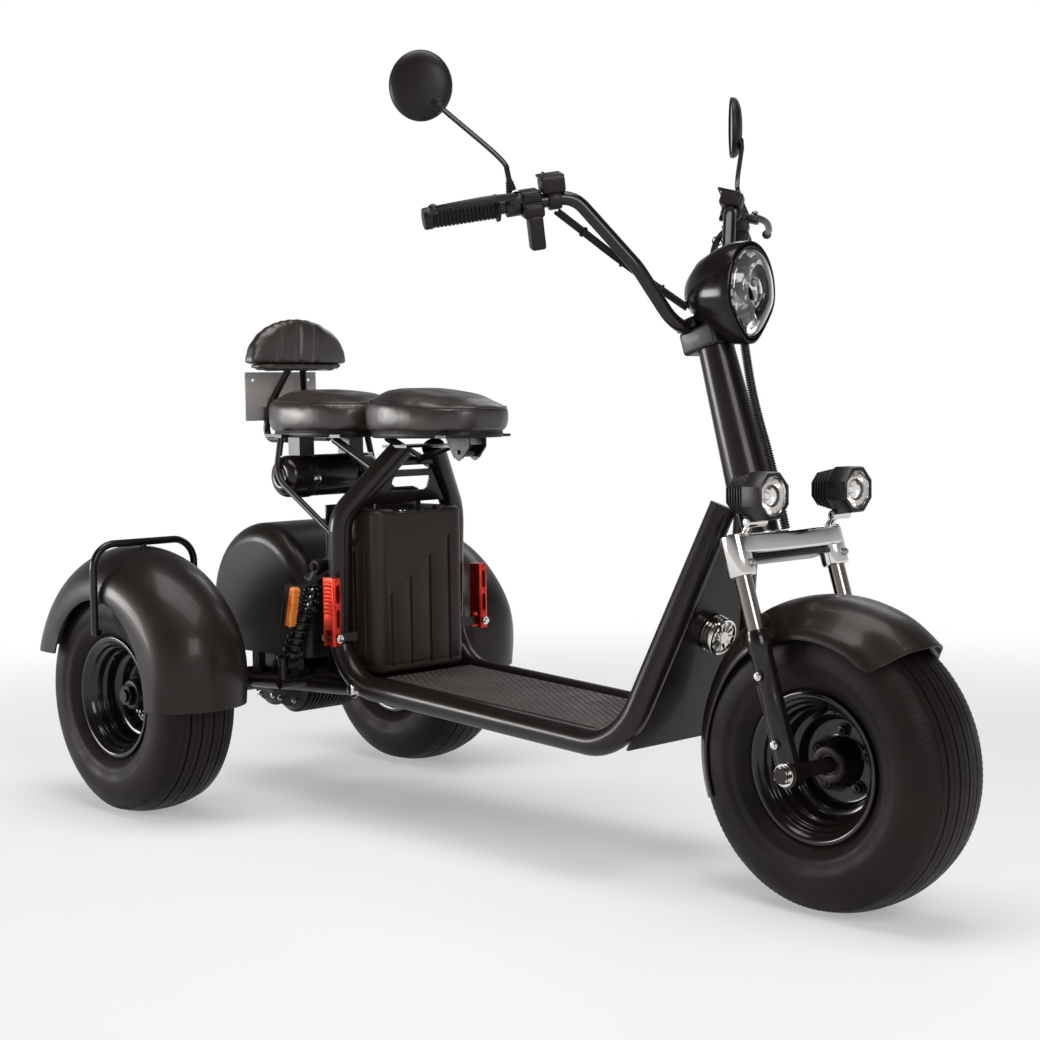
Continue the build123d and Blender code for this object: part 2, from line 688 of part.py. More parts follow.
def round_drum(x, y, width, radius, depth):
    """A solid drum about a rear wheel with an elliptical crown; depth is from the crown to the straight sides."""
    with BuildPart() as drum:
        with BuildSketch(Plane(origin=(x, y, axle_height), x_dir=(0, 1, 0), z_dir=(1, 0, 0))):
            with BuildLine():
                Polyline((width / 2, radius - depth), (width / 2, 0), (-width / 2, 0), (-width / 2, radius - depth))
                EllipticalCenterArc((0, radius - depth), width / 2, depth, 0, arc_size=180)
            make_face()
        revolve(axis=Axis((x, y, axle_height), (0, 1, 0)))
    return drum


with BuildPart() as wheel_opening:
    with BuildSketch(Plane(origin=(rear_x, rear_wheel_y, axle_height), x_dir=(1, 0, 0), z_dir=(0, -1, 0))):
        Ellipse(wheel_opening_length / 2, wheel_opening_height)
    extrude(amount=rear_fender_width, both=True)
below = 2 * rear_fender_radius
with BuildPart() as below_fender:
    with Locations((rear_x, rear_wheel_y, axle_height + rear_front_height - below / 2)):
        Box(2 * below, 2 * rear_fender_width, below)
    with Locations((rear_x - below / 2, rear_wheel_y, axle_height + rear_tail_height - below / 2)):
        Box(below, 2 * rear_fender_width, below)
rear_fender = less(
    round_drum(rear_x, rear_wheel_y, rear_fender_width, rear_fender_radius, rear_crown_depth),
    round_drum(rear_x, rear_wheel_y, rear_fender_width - 2 * fender_wall, rear_fender_radius - fender_wall,
               rear_crown_depth - fender_wall),
    wheel_opening, below_fender,
)
save(both_sides(rear_fender), "rear_fenders")

# A hoop over each rear fender comes down outside it, and a flat bar inside carries it from the axle.
hoop_diameter = 14.0
fender_inner_side = rear_wheel_y - rear_fender_width / 2
fender_outer_side = rear_wheel_y + rear_fender_width / 2
hoop_top = axle_height + rear_fender_radius + hoop_diameter / 2
hoop = tube([
    behind(18, axle_height + 10, fender_inner_side - 12), behind(18, hoop_top + 1, fender_inner_side - 12),
    behind(18, hoop_top + 1, fender_outer_side + 9), behind(18, 352, fender_outer_side + 9),
], [46, 46], hoop_diameter)
fender_clip = rod(behind(18, 356, fender_outer_side - 2), behind(18, 356, fender_outer_side + 9), 12)
inner_clip = rod(behind(18, 430, fender_inner_side - 12), behind(18, 430, fender_inner_side + 2), 12)
crown_clip = rod(behind(18, hoop_top, rear_wheel_y), behind(18, hoop_top - 9, rear_wheel_y), 12)
fender_stays = both_sides(less(joined(hoop, fender_clip, inner_clip, crown_clip), rear_fender, axle_space))
save(fender_stays, "fender_stays")

# ---- steering column, fork and front axle -------------------------------------------------------------
axle_local = -axle_drop
with BuildPart() as column:
    with BuildSketch(steer_plane.offset(column_foot)):
        Circle(column_foot_diameter / 2)
    with BuildSketch(steer_plane.offset(column_top)):
        Circle(column_top_diameter / 2)
    loft()
    with BuildSketch(steer_plane.offset(crown_height / 2)):
        Circle(steerer_diameter / 2)
    extrude(amount=column_foot - crown_height / 2 + 1)
save(column, "steering_column")

crown_end = leg_half_gap + 20
socket_diameter, socket_drop = 44.0, 30.0
front_axle_point = steered(fork_offset, axle_local)
with BuildPart() as fork_crown:
    with BuildSketch(steer_plane) as crown_outline:
        with BuildLine():
            Polyline((-34, -36), (-34, 36), (22, crown_end), (62, crown_end), (62, -crown_end), (22, -crown_end),
                     close=True)
        make_face()
        fillet(crown_outline.vertices(), 9)
    extrude(amount=crown_height / 2, both=True)
    with BuildSketch(steer_plane.offset(-crown_height / 2 - socket_drop)):
        with Locations((fork_offset, leg_half_gap), (fork_offset, -leg_half_gap)):
            Circle(socket_diameter / 2)
    extrude(amount=socket_drop + 4)
save(fork_crown, "fork_crown")

slider_top = -136.0
leg_foot_point = steered(fork_offset, axle_local, leg_half_gap)
fork_leg = joined(
    rod(steered(fork_offset, -crown_height / 2 - 4, leg_half_gap), steered(fork_offset, slider_top - 6, leg_half_gap),
        stanchion_diameter),
    rod(steered(fork_offset, slider_top, leg_half_gap), leg_foot_point, leg_diameter),
    cross_rod(leg_foot_point, leg_diameter - 4, leg_diameter + 8),
)
front_spindle = cross_rod(front_axle_point, 2 * leg_half_gap + leg_diameter + 10, front_spindle_diameter)
hub_near, hub_far = rim_width / 2 - 4, 24.0
leg_inner = leg_half_gap - leg_diameter / 2 + 2
axle_x, _, axle_z = front_axle_point
near_spacer = rod((axle_x, hub_near + fit_gap, axle_z), (axle_x, leg_inner, axle_z), front_spindle_diameter + 8)
far_spacer = rod((axle_x, -hub_far - fit_gap, axle_z), (axle_x, -leg_inner, axle_z), front_spindle_diameter + 8)
front_nut = both_sides(hex_nut(axle_x, leg_half_gap + leg_diameter / 2 - 2, axle_z, 24, 10))
front_axle = joined(front_spindle, near_spacer, far_spacer, front_nut)
fork_legs = less(both_sides(fork_leg), fork_crown, front_axle)
save(fork_legs, "fork_legs")
save(front_axle, "front_axle")

fender_boss_up = axle_local + 232
fender_boss = both_sides(rod(
    steered(fork_offset, fender_boss_up, front_fender_width / 2 - 2), steered(fork_offset, fender_boss_up, leg_half_gap),
    22,
))
front_fender = less(joined(
    fender(front_x, 0, front_fender_width, front_fender_radius, [(196, 148, 92), (218, 200, 159)]), fender_boss,
), fork_legs)
save(front_fender, "front_fender")

# ---- handlebar ----------------------------------------------------------------------------------------
bar_rise, bar_sweep_up, bar_back = 596.0, 601.0, -190.0
bar_bend = Vector(*steered(-52, bar_rise, 190))
bar_end = Vector(*steered(bar_back, bar_sweep_up, 385))
bar_foot_up, bar_foot_forward = 370.0, -29.0
handlebar = tube([
    steered(bar_back, bar_sweep_up, 385), steered(-52, bar_rise, 190), steered(-27, 472, 110),
    steered(bar_foot_forward, bar_foot_up, 48), steered(bar_foot_forward, bar_foot_up, -48),
    steered(-27, 472, -110), steered(-52, bar_rise, -190), steered(bar_back, bar_sweep_up, -385),
], [42, 120, 70, 70, 120, 42], bar_diameter)
save(handlebar, "handlebar")

bar_run = (bar_end - bar_bend).normalized()
bar_ahead = Vector(*steer_plane.to_local_coords(bar_end)) - Vector(*steer_plane.to_local_coords(bar_bend))
ahead = Vector(*steered(bar_ahead.Y, 0, -bar_ahead.X)) - Vector(*steered(0, 0, 0))
ahead = ahead.normalized()
above = ahead.cross(bar_run).normalized()
bar_length = (bar_end - bar_bend).length


def on_bar(run, forward=0.0, up=0.0):
    """A point that far along the left half of the handlebar past its bend, ahead of it and above it."""
    return bar_bend + bar_run * run + ahead * forward + above * up


def block_on_bar(run, length, forward, up, width, height, corner):
    """A rounded block along the handlebar, its middle set ahead of and above it."""
    with BuildPart() as block:
        with BuildSketch(Plane(origin=on_bar(run, forward, up), x_dir=ahead, z_dir=bar_run)):
            RectangleRounded(width, height, corner)
        extrude(amount=length / 2, both=True)
    return block


grip_start = bar_length - grip_length
save(both_sides(less(rod(on_bar(grip_start), on_bar(bar_length + 3), grip_diameter), handlebar)), "grips")
perch_run = grip_start - 22
perch = rod(on_bar(perch_run - 11), on_bar(perch_run + 11), 34)
perch_arm = block_on_bar(perch_run, 20, 24, 0, 40, 16, 5)
lever_blade = tube([
    on_bar(perch_run - 6, 40, 0), on_bar(perch_run + 40, 52, -2), on_bar(bar_length - 10, 46, -2),
], 60, 10)
with BuildPart() as lever_ball:
    with Locations(on_bar(bar_length - 10, 46, -2)):
        Sphere(9)
brake_levers = both_sides(less(joined(perch, perch_arm, lever_blade, lever_ball), handlebar))
save(brake_levers, "brake_levers")

switch_run = perch_run - 29
switch_body = block_on_bar(switch_run, 34, 2, -2, 44, 44, 9)
switch_tail = block_on_bar(switch_run, 24, -2, -48, 26, 56, 6)
switch_blocks = both_sides(less(joined(switch_body, switch_tail), handlebar))

reservoir_run = switch_run - 38
reservoir = block_on_bar(reservoir_run, 38, 6, 24, 40, 30, 5)
reservoir_foot = rod(on_bar(reservoir_run - 10), on_bar(reservoir_run + 10), 32)
reservoirs = both_sides(less(joined(reservoir, reservoir_foot), handlebar))
save(joined(switch_blocks, reservoirs), "control_housings")

# ---- mirrors ------------------------------------------------------------------------------------------
mirror_centre = Vector(*steered(-138, 801, 380))
mirror_face = Vector(-0.72, -0.69, 0.0).normalized()
mirror_inward = Vector(-mirror_face.Y, mirror_face.X, 0)
mirror_joint = mirror_centre + mirror_inward * 34 - Vector(0, 0, 36) - mirror_face * 8
mirror_disc = rod(mirror_centre - mirror_face * (mirror_thickness / 2),
                  mirror_centre + mirror_face * (mirror_thickness / 2), mirror_diameter)
mirror_stem = tube([on_bar(perch_run, 18, 4), on_bar(perch_run, 18, 62), mirror_joint], 22, 9)
stem_foot = rod(on_bar(perch_run, 18, 6), on_bar(perch_run, 19, 30), 18)
mirrors = both_sides(less(joined(mirror_disc, mirror_stem, stem_foot), joined(perch, perch_arm), handlebar))
save(mirrors, "mirrors")
# ---- head lamp, clamp, spot lights and conduit --------------------------------------------------------
lamp_width, lamp_height, lens_thickness = 125.0, 165.0, 14.0
lamp_centre = Vector(*steered(44, 405))
lamp_back_x, lamp_front_x = lamp_centre.X - 60, lamp_centre.X + 48


def lamp_plane(x):
    """A plane across the lamp, facing forward."""
    return Plane(origin=(x, 0, lamp_centre.Z), x_dir=(0, 1, 0), z_dir=(1, 0, 0))


with BuildPart() as lamp_blank:
    with BuildSketch(lamp_plane(lamp_back_x)):
        Ellipse(36, 48)
    with BuildSketch(lamp_plane(lamp_centre.X)):
        Ellipse(lamp_width / 2 - 2, lamp_height / 2 - 3)
    with BuildSketch(lamp_plane(lamp_front_x)):
        Ellipse(lamp_width / 2 - 6, lamp_height / 2)
    loft()
with BuildPart() as headlamp_lens:
    with BuildSketch(lamp_plane(lamp_front_x)):
        Ellipse(lamp_width / 2 - 9, lamp_height / 2 - 3)
    extrude(amount=lens_thickness)
    fillet(headlamp_lens.faces().sort_by(Axis.X)[-1].edges(), 8)
clamp_half = 30.0
with BuildPart() as clamp_block:
    with BuildSketch(steer_plane.offset(column_top)):
        with Locations((-10, 0)):
            RectangleRounded(72, 2 * clamp_half, 12)
    extrude(amount=bar_foot_up + 18 - column_top)
headlamp_housing = less(lamp_blank, handlebar, column)
handlebar_clamp = less(clamp_block, handlebar, lamp_blank)
save(headlamp_housing, "headlamp_housing")
save(headlamp_lens, "headlamp_lens")
save(handlebar_clamp, "handlebar_clamp")

spot_diameter, spot_length, spot_side = 78.0, 76.0, 105.0
spot_centre = Vector(*steered(90, 66, spot_side))
forward = Vector(1, 0, 0)
spot_body = joined(
    rod(spot_centre - forward * (spot_length / 2), spot_centre + forward * (spot_length / 2), spot_diameter - 14),
    rod(spot_centre - forward * 4, spot_centre + forward * (spot_length / 2), spot_diameter),
)
spot_stalk = rod(steered(50, 8, spot_side), spot_centre + forward * 2, 12)
spot_yoke = cross_rod(spot_centre - Vector(0, 0, spot_diameter / 2 + 2), 46, 16)
spot_lights = less(both_sides(joined(spot_body, spot_stalk, spot_yoke)), fork_crown)
save(spot_lights, "spot_lights")

conduit_diameter = 15.0
cable_conduit = less(tube([
    steered(62, 352), steered(52, 282), steered(48, 210), steered(53, 120), steered(49, 14),
], [200, 300, 300], conduit_diameter), fork_crown, lamp_blank, column)
control_cable_diameter = 11.0
control_cables = both_sides(less(tube([
    on_bar(reservoir_run - 2, -5, -19), steered(-80, bar_rise - 36, 172), steered(-52, 478, 96), steered(-8, 396, 28),
], [34, 60], control_cable_diameter), handlebar, lamp_blank, clamp_block, reservoir_foot))
save(joined(cable_conduit, control_cables), "cable_sleeves")

horn_diameter, horn_length = 62.0, 26.0
horn_back = leg_plane.offset(panel_thickness)
horn_up = 196.0
with BuildPart() as horn:
    with BuildSketch(horn_back):
        with Locations((0, horn_up)):
            Circle(horn_diameter / 2)
    extrude(amount=horn_length)
save(horn, "horn")
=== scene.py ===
# %% [markdown]
# # Electric three-wheel scooter
# The scooter's frame, axles and joints come in as a fixed model, in metres, and this notebook gives them
# their looks. Each cell makes one piece or one finish: a primitive is added at its real size, shaped in edit
# mode, finished with modifiers that are applied at once, and then told which moving body it rides on.

# %% Load the fixed frame
import json
import math

import bpy
from mathutils import Matrix, Vector


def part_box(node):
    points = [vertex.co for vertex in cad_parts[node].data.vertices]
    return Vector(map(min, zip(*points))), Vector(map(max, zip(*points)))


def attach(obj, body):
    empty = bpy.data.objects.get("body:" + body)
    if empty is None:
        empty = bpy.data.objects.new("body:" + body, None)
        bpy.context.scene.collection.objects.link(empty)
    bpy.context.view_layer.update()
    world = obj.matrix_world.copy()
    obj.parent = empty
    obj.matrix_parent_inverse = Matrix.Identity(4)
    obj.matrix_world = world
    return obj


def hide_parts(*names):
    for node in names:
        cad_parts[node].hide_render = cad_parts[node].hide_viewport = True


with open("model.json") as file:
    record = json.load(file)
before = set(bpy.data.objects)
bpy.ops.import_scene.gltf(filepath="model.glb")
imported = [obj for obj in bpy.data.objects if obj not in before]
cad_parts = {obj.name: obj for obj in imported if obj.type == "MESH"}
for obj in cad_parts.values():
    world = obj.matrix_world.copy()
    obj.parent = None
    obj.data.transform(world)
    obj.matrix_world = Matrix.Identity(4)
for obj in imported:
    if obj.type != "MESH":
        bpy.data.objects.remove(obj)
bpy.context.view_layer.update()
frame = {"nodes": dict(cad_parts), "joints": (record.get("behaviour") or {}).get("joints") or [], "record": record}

# %% [markdown]
# The main sizes come from the frame: the middles and radii of the wheels, the joints' places and axes, and
# the boxes of the pieces that are dressed. Three more measures place the fork's legs. Small helpers turn a
# box into its middle and its size.

# %% Places taken from the frame
joints = {joint["name"]: joint for joint in frame["joints"]}


def middle(node):
    """The middle of a node's box."""
    low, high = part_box(node)
    return (low + high) / 2


def extent(node):
    """The sizes of a node's box."""
    low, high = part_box(node)
    return high - low


front_hub = Vector(joints["front_wheel_roll"]["pos_m"])
right_hub = Vector(joints["rear_wheel_right_roll"]["pos_m"])
left_hub = Vector(joints["rear_wheel_left_roll"]["pos_m"])
tyre_radius = extent("front_tyre").z / 2
tyre_width = extent("front_tyre").y
steer_axis = Vector(joints["steering_turn"]["axis"])
crown_middle = Vector(joints["steering_turn"]["pos_m"]) - steer_axis * 0.060
across = Vector((0, 1, 0))
ahead_of_column = across.cross(steer_axis)
fork_ahead, leg_half, axle_up = 0.039, 0.116, -0.3486


def steered(forward, up, side=0.0):
    """A point on the steering group: ahead of the fork crown's middle, up the steering axis, and left."""
    return crown_middle + ahead_of_column * forward + steer_axis * up + across * side


print("tyre radius", round(tyre_radius, 4), "width", round(tyre_width, 4))

# %% [markdown]
# Blender's operators act on whatever is selected, and the imported nodes arrive selected. So each piece
# starts from an empty selection, and edges are picked in code by where their two ends are.

# %% Helpers for making a piece
def deselect():
    """Nothing selected, no edit mode left open."""
    if bpy.context.object and bpy.context.object.mode != "OBJECT":
        bpy.ops.object.mode_set(mode="OBJECT")
    bpy.ops.object.select_all(action="DESELECT")


def only(piece):
    """Make a piece the one that is selected and active."""
    deselect()
    piece.select_set(True)
    bpy.context.view_layer.objects.active = piece
    return piece


def named(name):
    """Name the primitive that was just added."""
    piece = bpy.context.object
    piece.name = name
    piece.data.name = name
    return piece


def settle(piece):
    """Put a piece's place, turn and size into its mesh, so that its object sits at the origin."""
    only(piece)
    bpy.ops.object.transform_apply(location=True, rotation=True, scale=True)
    return piece


def edit(piece, kind="FACE"):
    """Open a piece in edit mode with nothing selected."""
    only(piece)
    bpy.ops.object.mode_set(mode="EDIT")
    bpy.ops.mesh.select_mode(type=kind)
    bpy.ops.mesh.select_all(action="DESELECT")


def leave():
    """Close edit mode."""
    bpy.ops.object.mode_set(mode="OBJECT")


def pick_edges(piece, test):
    """Select the edges whose two ends pass a test, while the piece is in edit mode."""
    bpy.ops.object.mode_set(mode="OBJECT")
    points = piece.data.vertices
    for face in piece.data.polygons:
        face.select = False
    for point in points:
        point.select = False
    for edge in piece.data.edges:
        edge.select = bool(test(points[edge.vertices[0]].co, points[edge.vertices[1]].co))
    bpy.ops.object.mode_set(mode="EDIT")


def bevel_edges(piece, offset, segments, test):
    """Bevel the edges whose two ends pass a test."""
    edit(piece)
    pick_edges(piece, test)
    bpy.ops.mesh.bevel(offset=offset, segments=segments, affect="EDGES")
    leave()


def subdivided(piece, cuts):
    """Cut every face of a piece into small squares."""
    edit(piece)
    bpy.ops.mesh.select_all(action="SELECT")
    bpy.ops.mesh.subdivide(number_cuts=cuts)
    leave()
    return piece


def extruded(piece, shift):
    """Draw a flat piece out into a solid."""
    edit(piece)
    bpy.ops.mesh.select_all(action="SELECT")
    bpy.ops.mesh.extrude_region_move(TRANSFORM_OT_translate={"value": shift})
    leave()
    return tidy(piece)


def add_modifier(piece, kind, **values):
    """Add a modifier, set its values and apply it at once."""
    only(piece)
    modifier = piece.modifiers.new(kind.title(), kind)
    for key, value in values.items():
        setattr(modifier, key, value)
    bpy.ops.object.modifier_apply(modifier=modifier.name)
    return piece


def beveled(piece, width, segments=2, angle=30):
    """Bevel the edges that are sharper than the angle."""
    return add_modifier(piece, "BEVEL", width=width, segments=segments, limit_method="ANGLE",
                        angle_limit=math.radians(angle))


def rounded(piece, width, segments=2, angle=30):
    """Bevel the sharp edges and shade the rest smooth."""
    return smooth(beveled(piece, width, segments, angle))


def smooth(piece, angle=35):
    """Shade smooth, but keep edges sharper than the angle."""
    only(piece)
    bpy.ops.object.shade_smooth_by_angle(angle=math.radians(angle))
    return piece


def tidy(piece):
    """Merge doubled points and turn every face outwards."""
    edit(piece, "VERT")
    bpy.ops.mesh.select_all(action="SELECT")
    bpy.ops.mesh.remove_doubles(threshold=0.00001)
    bpy.ops.mesh.normals_make_consistent(inside=False)
    leave()
    return piece


def block(name, centre, size, turn=(0, 0, 0)):
    """A box with its corners still sharp, at its place and turn."""
    deselect()
    bpy.ops.mesh.primitive_cube_add(size=1, location=centre, rotation=turn, scale=size)
    return settle(named(name))


def facing(direction):
    """The turn that points a primitive's own Z along a direction."""
    return Vector(direction).to_track_quat("Z", "Y").to_euler()


def barrel(name, start, end, radius, end_radius=None, sides=32):
    """A round bar or cone between two points."""
    start, end = Vector(start), Vector(end)
    deselect()
    bpy.ops.mesh.primitive_cone_add(
        vertices=sides, radius1=radius, radius2=radius if end_radius is None else end_radius,
        depth=(end - start).length, location=(start + end) / 2, rotation=facing(end - start),
    )
    return settle(named(name))


def outline(name, points, closed=False):
    """Draw a chain of edges by extruding one vertex from point to point."""
    deselect()
    bpy.ops.mesh.primitive_plane_add(size=0.001, location=points[0])
    piece = settle(named(name))
    edit(piece, "VERT")
    bpy.ops.mesh.select_all(action="SELECT")
    bpy.ops.mesh.merge(type="CENTER")
    for before, after in zip(points, points[1:]):
        bpy.ops.mesh.extrude_region_move(TRANSFORM_OT_translate={"value": Vector(after) - Vector(before)})
    if closed:
        bpy.ops.mesh.select_all(action="SELECT")
        bpy.ops.mesh.edge_face_add()
    leave()
    return piece


def lathe(name, profile, centre, axis=(0, 1, 0), outward=(0, 0, 1), steps=64, angle=360.0):
    """Spin a profile of (along the axis, out from it) points about an axis."""
    axis, outward, centre = Vector(axis).normalized(), Vector(outward).normalized(), Vector(centre)
    piece = outline(name, [centre + axis * along + outward * out for along, out in profile])
    edit(piece, "VERT")
    bpy.ops.mesh.select_all(action="SELECT")
    bpy.ops.mesh.spin(steps=steps, angle=math.radians(angle), center=centre, axis=axis)
    leave()
    return tidy(piece)


def spun(name, profile, centre, axis=(0, 1, 0), outward=(0, 0, 1), steps=64, sharp=40):
    """A turned part, shaded smooth but for edges sharper than the angle."""
    return smooth(lathe(name, profile, centre, axis, outward, steps), sharp)


def collar(half, inner, edge, flat, outer):
    """The section of a ring whose outer corners are broken: edge is the radius where the corner starts."""
    return [(-half, inner), (-half, edge), (-flat, outer), (flat, outer), (half, edge), (half, inner),
            (-half, inner)]


def flat_band(half, inner, outer):
    """The section of a plain band."""
    return [(-half, inner), (-half, outer), (half, outer), (half, inner), (-half, inner)]


def ball_section(radius, step):
    """Half a circle, which spins into a ball."""
    turns = [math.radians(angle) for angle in range(0, 181, step)]
    return [(-radius * math.cos(turn), max(0.00005, radius * math.sin(turn))) for turn in turns]


def ridges(count, start, pitch, root, crown, rise, fall, foot):
    """Equal ridges along a section; rise, fall and foot are measured from where each ridge starts."""
    points = []
    for index in range(count):
        at = start + pitch * index
        points += [(at, root), (at + rise, crown), (at + fall, crown), (at + foot, root)]
    return points


def cut_away(piece, cutter):
    """Cut one shape out of another and drop the cutter."""
    add_modifier(piece, "BOOLEAN", operation="DIFFERENCE", object=cutter, solver="EXACT")
    bpy.data.objects.remove(cutter)
    return piece


def copy_of(piece, name):
    """A copy with its own mesh."""
    only(piece)
    bpy.ops.object.duplicate()
    return named(name)


def turned(piece, angle, axis, centre):
    """Turn a piece about a line, in degrees, and put the turn into its mesh."""
    turn = Matrix.Rotation(math.radians(angle), 4, Vector(axis))
    piece.data.transform(Matrix.Translation(centre) @ turn @ Matrix.Translation(-Vector(centre)))
    return piece


def laid(piece, place_at, direction):
    """Turn a piece's own Z along a direction and move it to its place."""
    turn = direction.to_track_quat("Z", "Y").to_matrix().to_4x4()
    piece.data.transform(Matrix.Translation(place_at) @ turn)
    return piece


def mirrored(piece, name):
    """The twin on the other side of the scooter, with its faces turned right side out."""
    twin = copy_of(piece, name)
    twin.data.transform(Matrix.Scale(-1, 4, across))
    twin.data.flip_normals()
    return twin


def joined(name, pieces):
    """Several meshes as one piece."""
    deselect()
    for piece in pieces:
        piece.select_set(True)
    bpy.context.view_layer.objects.active = pieces[0]
    bpy.ops.object.join()
    return named(name)


def around(piece, name, count, axis, centre, first=0.0):
    """A ring of copies about an axis, joined into one piece."""
    ring = []
    for index in range(count):
        ring.append(turned(copy_of(piece, f"{name}_{index}"), first + 360 * index / count, axis, centre))
    bpy.data.objects.remove(piece)
    return joined(name, ring)


def pipe(name, points, radius, sides=12, bends=True):
    """A tube that follows a smooth line through its points' control net."""
    piece = outline(name, points)
    only(piece)
    bpy.ops.object.convert(target="CURVE")
    line = piece.data
    if bends:
        bpy.ops.object.mode_set(mode="EDIT")
        bpy.ops.curve.select_all(action="SELECT")
        bpy.ops.curve.spline_type_set(type="NURBS")
        bpy.ops.object.mode_set(mode="OBJECT")
        for spline in line.splines:
            spline.order_u = 3
            spline.use_endpoint_u = True
            spline.resolution_u = 10
    line.bevel_depth = radius
    line.bevel_resolution = max(1, sides // 4 - 1)
    line.use_fill_caps = True
    only(piece)
    bpy.ops.object.convert(target="MESH")
    piece = named(name)
    tidy(piece)
    return smooth(piece)


def hex_bolt(name, centre, axis, across_flats, height, washer=1.35):
    """A hexagon head on its washer, its foot at the centre and its head along the axis."""
    axis, centre = Vector(axis).normalized(), Vector(centre)
    flat = across_flats / 2 / math.cos(math.radians(30))
    head = barrel(name + "_head", centre + axis * height * 0.2, centre + axis * height, flat, sides=6)
    ring = barrel(name + "_washer", centre, centre + axis * height * 0.22, flat * washer, sides=24)
    return joined(name, [rounded(head, across_flats * 0.05, 2), rounded(ring, height * 0.06, 1)])


def dress(piece, body, slot, finish, *nodes):
    """Give a piece its finish, its body and the nodes that it stands for."""
    piece.data.materials.clear()
    piece.data.materials.append(finish)
    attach(piece, body)
    if nodes:
        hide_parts(*nodes)
    return piece


# %% [markdown]
# ## Finishes
# Every finish starts from one shader with its plain values set. On top of them go three things that real
# surfaces have: a fine relief, patches that are a little more or less glossy, and a colour that drifts. All
# of them read the object's own coordinates, so a pattern stays on the piece when it moves.

# %% Helpers for a finish
def finish(name, colour, roughness, metallic=0.0, coat=0.0, coat_roughness=0.12, specular=0.5):
    """A new material with the shader's plain values set."""
    material = bpy.data.materials.new(name)
    material.use_nodes = True
    inputs = material.node_tree.nodes["Principled BSDF"].inputs
    inputs["Base Color"].default_value = (*colour, 1)
    inputs["Roughness"].default_value = roughness
    inputs["Metallic"].default_value = metallic
    inputs["Specular IOR Level"].default_value = specular
    inputs["Coat Weight"].default_value = coat
    inputs["Coat Roughness"].default_value = coat_roughness
    return material


def add_node(material, kind, settings=None, **inputs):
    """A node with its settings and its inputs' values set; an input's name has _ for its spaces."""
    made = material.node_tree.nodes.new(kind)
    for key, value in (settings or {}).items():
        setattr(made, key, value)
    for key, value in inputs.items():
        made.inputs[key.replace("_", " ")].default_value = value
    return made


def wire(material, source, target):
    """Link one socket to another."""
    material.node_tree.links.new(source, target)


def shader_input(material, name):
    """A socket of the material's shader."""
    return material.node_tree.nodes["Principled BSDF"].inputs[name]


def place(material, stretch=(1, 1, 1)):
    """Object coordinates for one pattern, stretched along the axes."""
    coordinates = add_node(material, "ShaderNodeTexCoord")
    mapping = add_node(material, "ShaderNodeMapping", Scale=stretch)
    wire(material, coordinates.outputs["Object"], mapping.inputs["Vector"])
    return mapping.outputs["Vector"]


def noise(material, scale, detail=4.0, stretch=(1, 1, 1), rough=0.55):
    """A cloudy pattern; scale is in spots for each metre."""
    cloud = add_node(material, "ShaderNodeTexNoise", Scale=scale, Detail=detail, Roughness=rough)
    wire(material, place(material, stretch), cloud.inputs["Vector"])
    return cloud.outputs["Fac"]


def drift(material, dark, light, pattern, low=0.35, high=0.7):
    """Let the colour drift between two tones."""
    ramp = add_node(material, "ShaderNodeValToRGB")
    ramp.color_ramp.elements[0].position, ramp.color_ramp.elements[1].position = low, high
    ramp.color_ramp.elements[0].color, ramp.color_ramp.elements[1].color = (*dark, 1), (*light, 1)
    wire(material, pattern, ramp.inputs["Fac"])
    wire(material, ramp.outputs["Color"], shader_input(material, "Base Color"))


def patchy(material, glossy, dull, pattern, low=0.3, high=0.75):
    """Let the roughness go from glossy to dull."""
    span = add_node(material, "ShaderNodeMapRange", From_Min=low, From_Max=high, To_Min=glossy, To_Max=dull)
    wire(material, pattern, span.inputs["Value"])
    wire(material, span.outputs["Result"], shader_input(material, "Roughness"))


def relief(material, pattern, depth, strength=1.0):
    """Raise the surface by a pattern, on top of any relief that is there already."""
    bump = add_node(material, "ShaderNodeBump", Strength=strength, Distance=depth)
    target = shader_input(material, "Normal")
    if target.links:
        wire(material, target.links[0].from_socket, bump.inputs["Normal"])
    wire(material, pattern, bump.inputs["Height"])
    wire(material, bump.outputs["Normal"], target)


# %% [markdown]
# Rubber is nearly black, rough, and never clean: dust settles on it in soft patches. The tread's grooves are
# real shape, so the rubber's own relief only has to carry its fine moulded grain.

# %% Rubber
def tyre_rubber():
    """Tyre rubber: dusty black with a fine moulded grain."""
    made = finish("tyre_rubber", (0.0095, 0.006, 0.0052), 0.5, specular=0.16)
    drift(made, (0.0058, 0.0037, 0.0032), (0.0140, 0.0092, 0.0080), noise(made, 9, 6))
    patchy(made, 0.40, 0.62, noise(made, 24, 5))
    relief(made, noise(made, 700, 3), 0.0003, 0.55)
    return made


def grip_rubber():
    """Soft rubber of grips, boots, valves and cables."""
    made = finish("grip_rubber", (0.0085, 0.006, 0.0053), 0.46, specular=0.22)
    patchy(made, 0.4, 0.62, noise(made, 60))
    relief(made, noise(made, 1600, 2), 0.0002, 0.5)
    return made


def mat_rubber():
    """The tread mat: studded rubber, worn a little paler where feet rub it."""
    made = finish("mat_rubber", (0.060, 0.046, 0.044), 0.5, specular=0.5)
    drift(made, (0.044, 0.034, 0.032), (0.082, 0.063, 0.060), noise(made, 6, 6, (1, 1.6, 1)), 0.4, 0.72)
    patchy(made, 0.42, 0.72, noise(made, 18, 5))
    relief(made, noise(made, 900, 3), 0.0003, 0.6)
    return made


# %% [markdown]
# The frame's paint is a satin black with a clear coat over it. Sprayed paint is never quite flat, so it gets
# a very shallow orange peel, and the gloss is a little lower where dust lies. The rims and the bar have more
# coat.

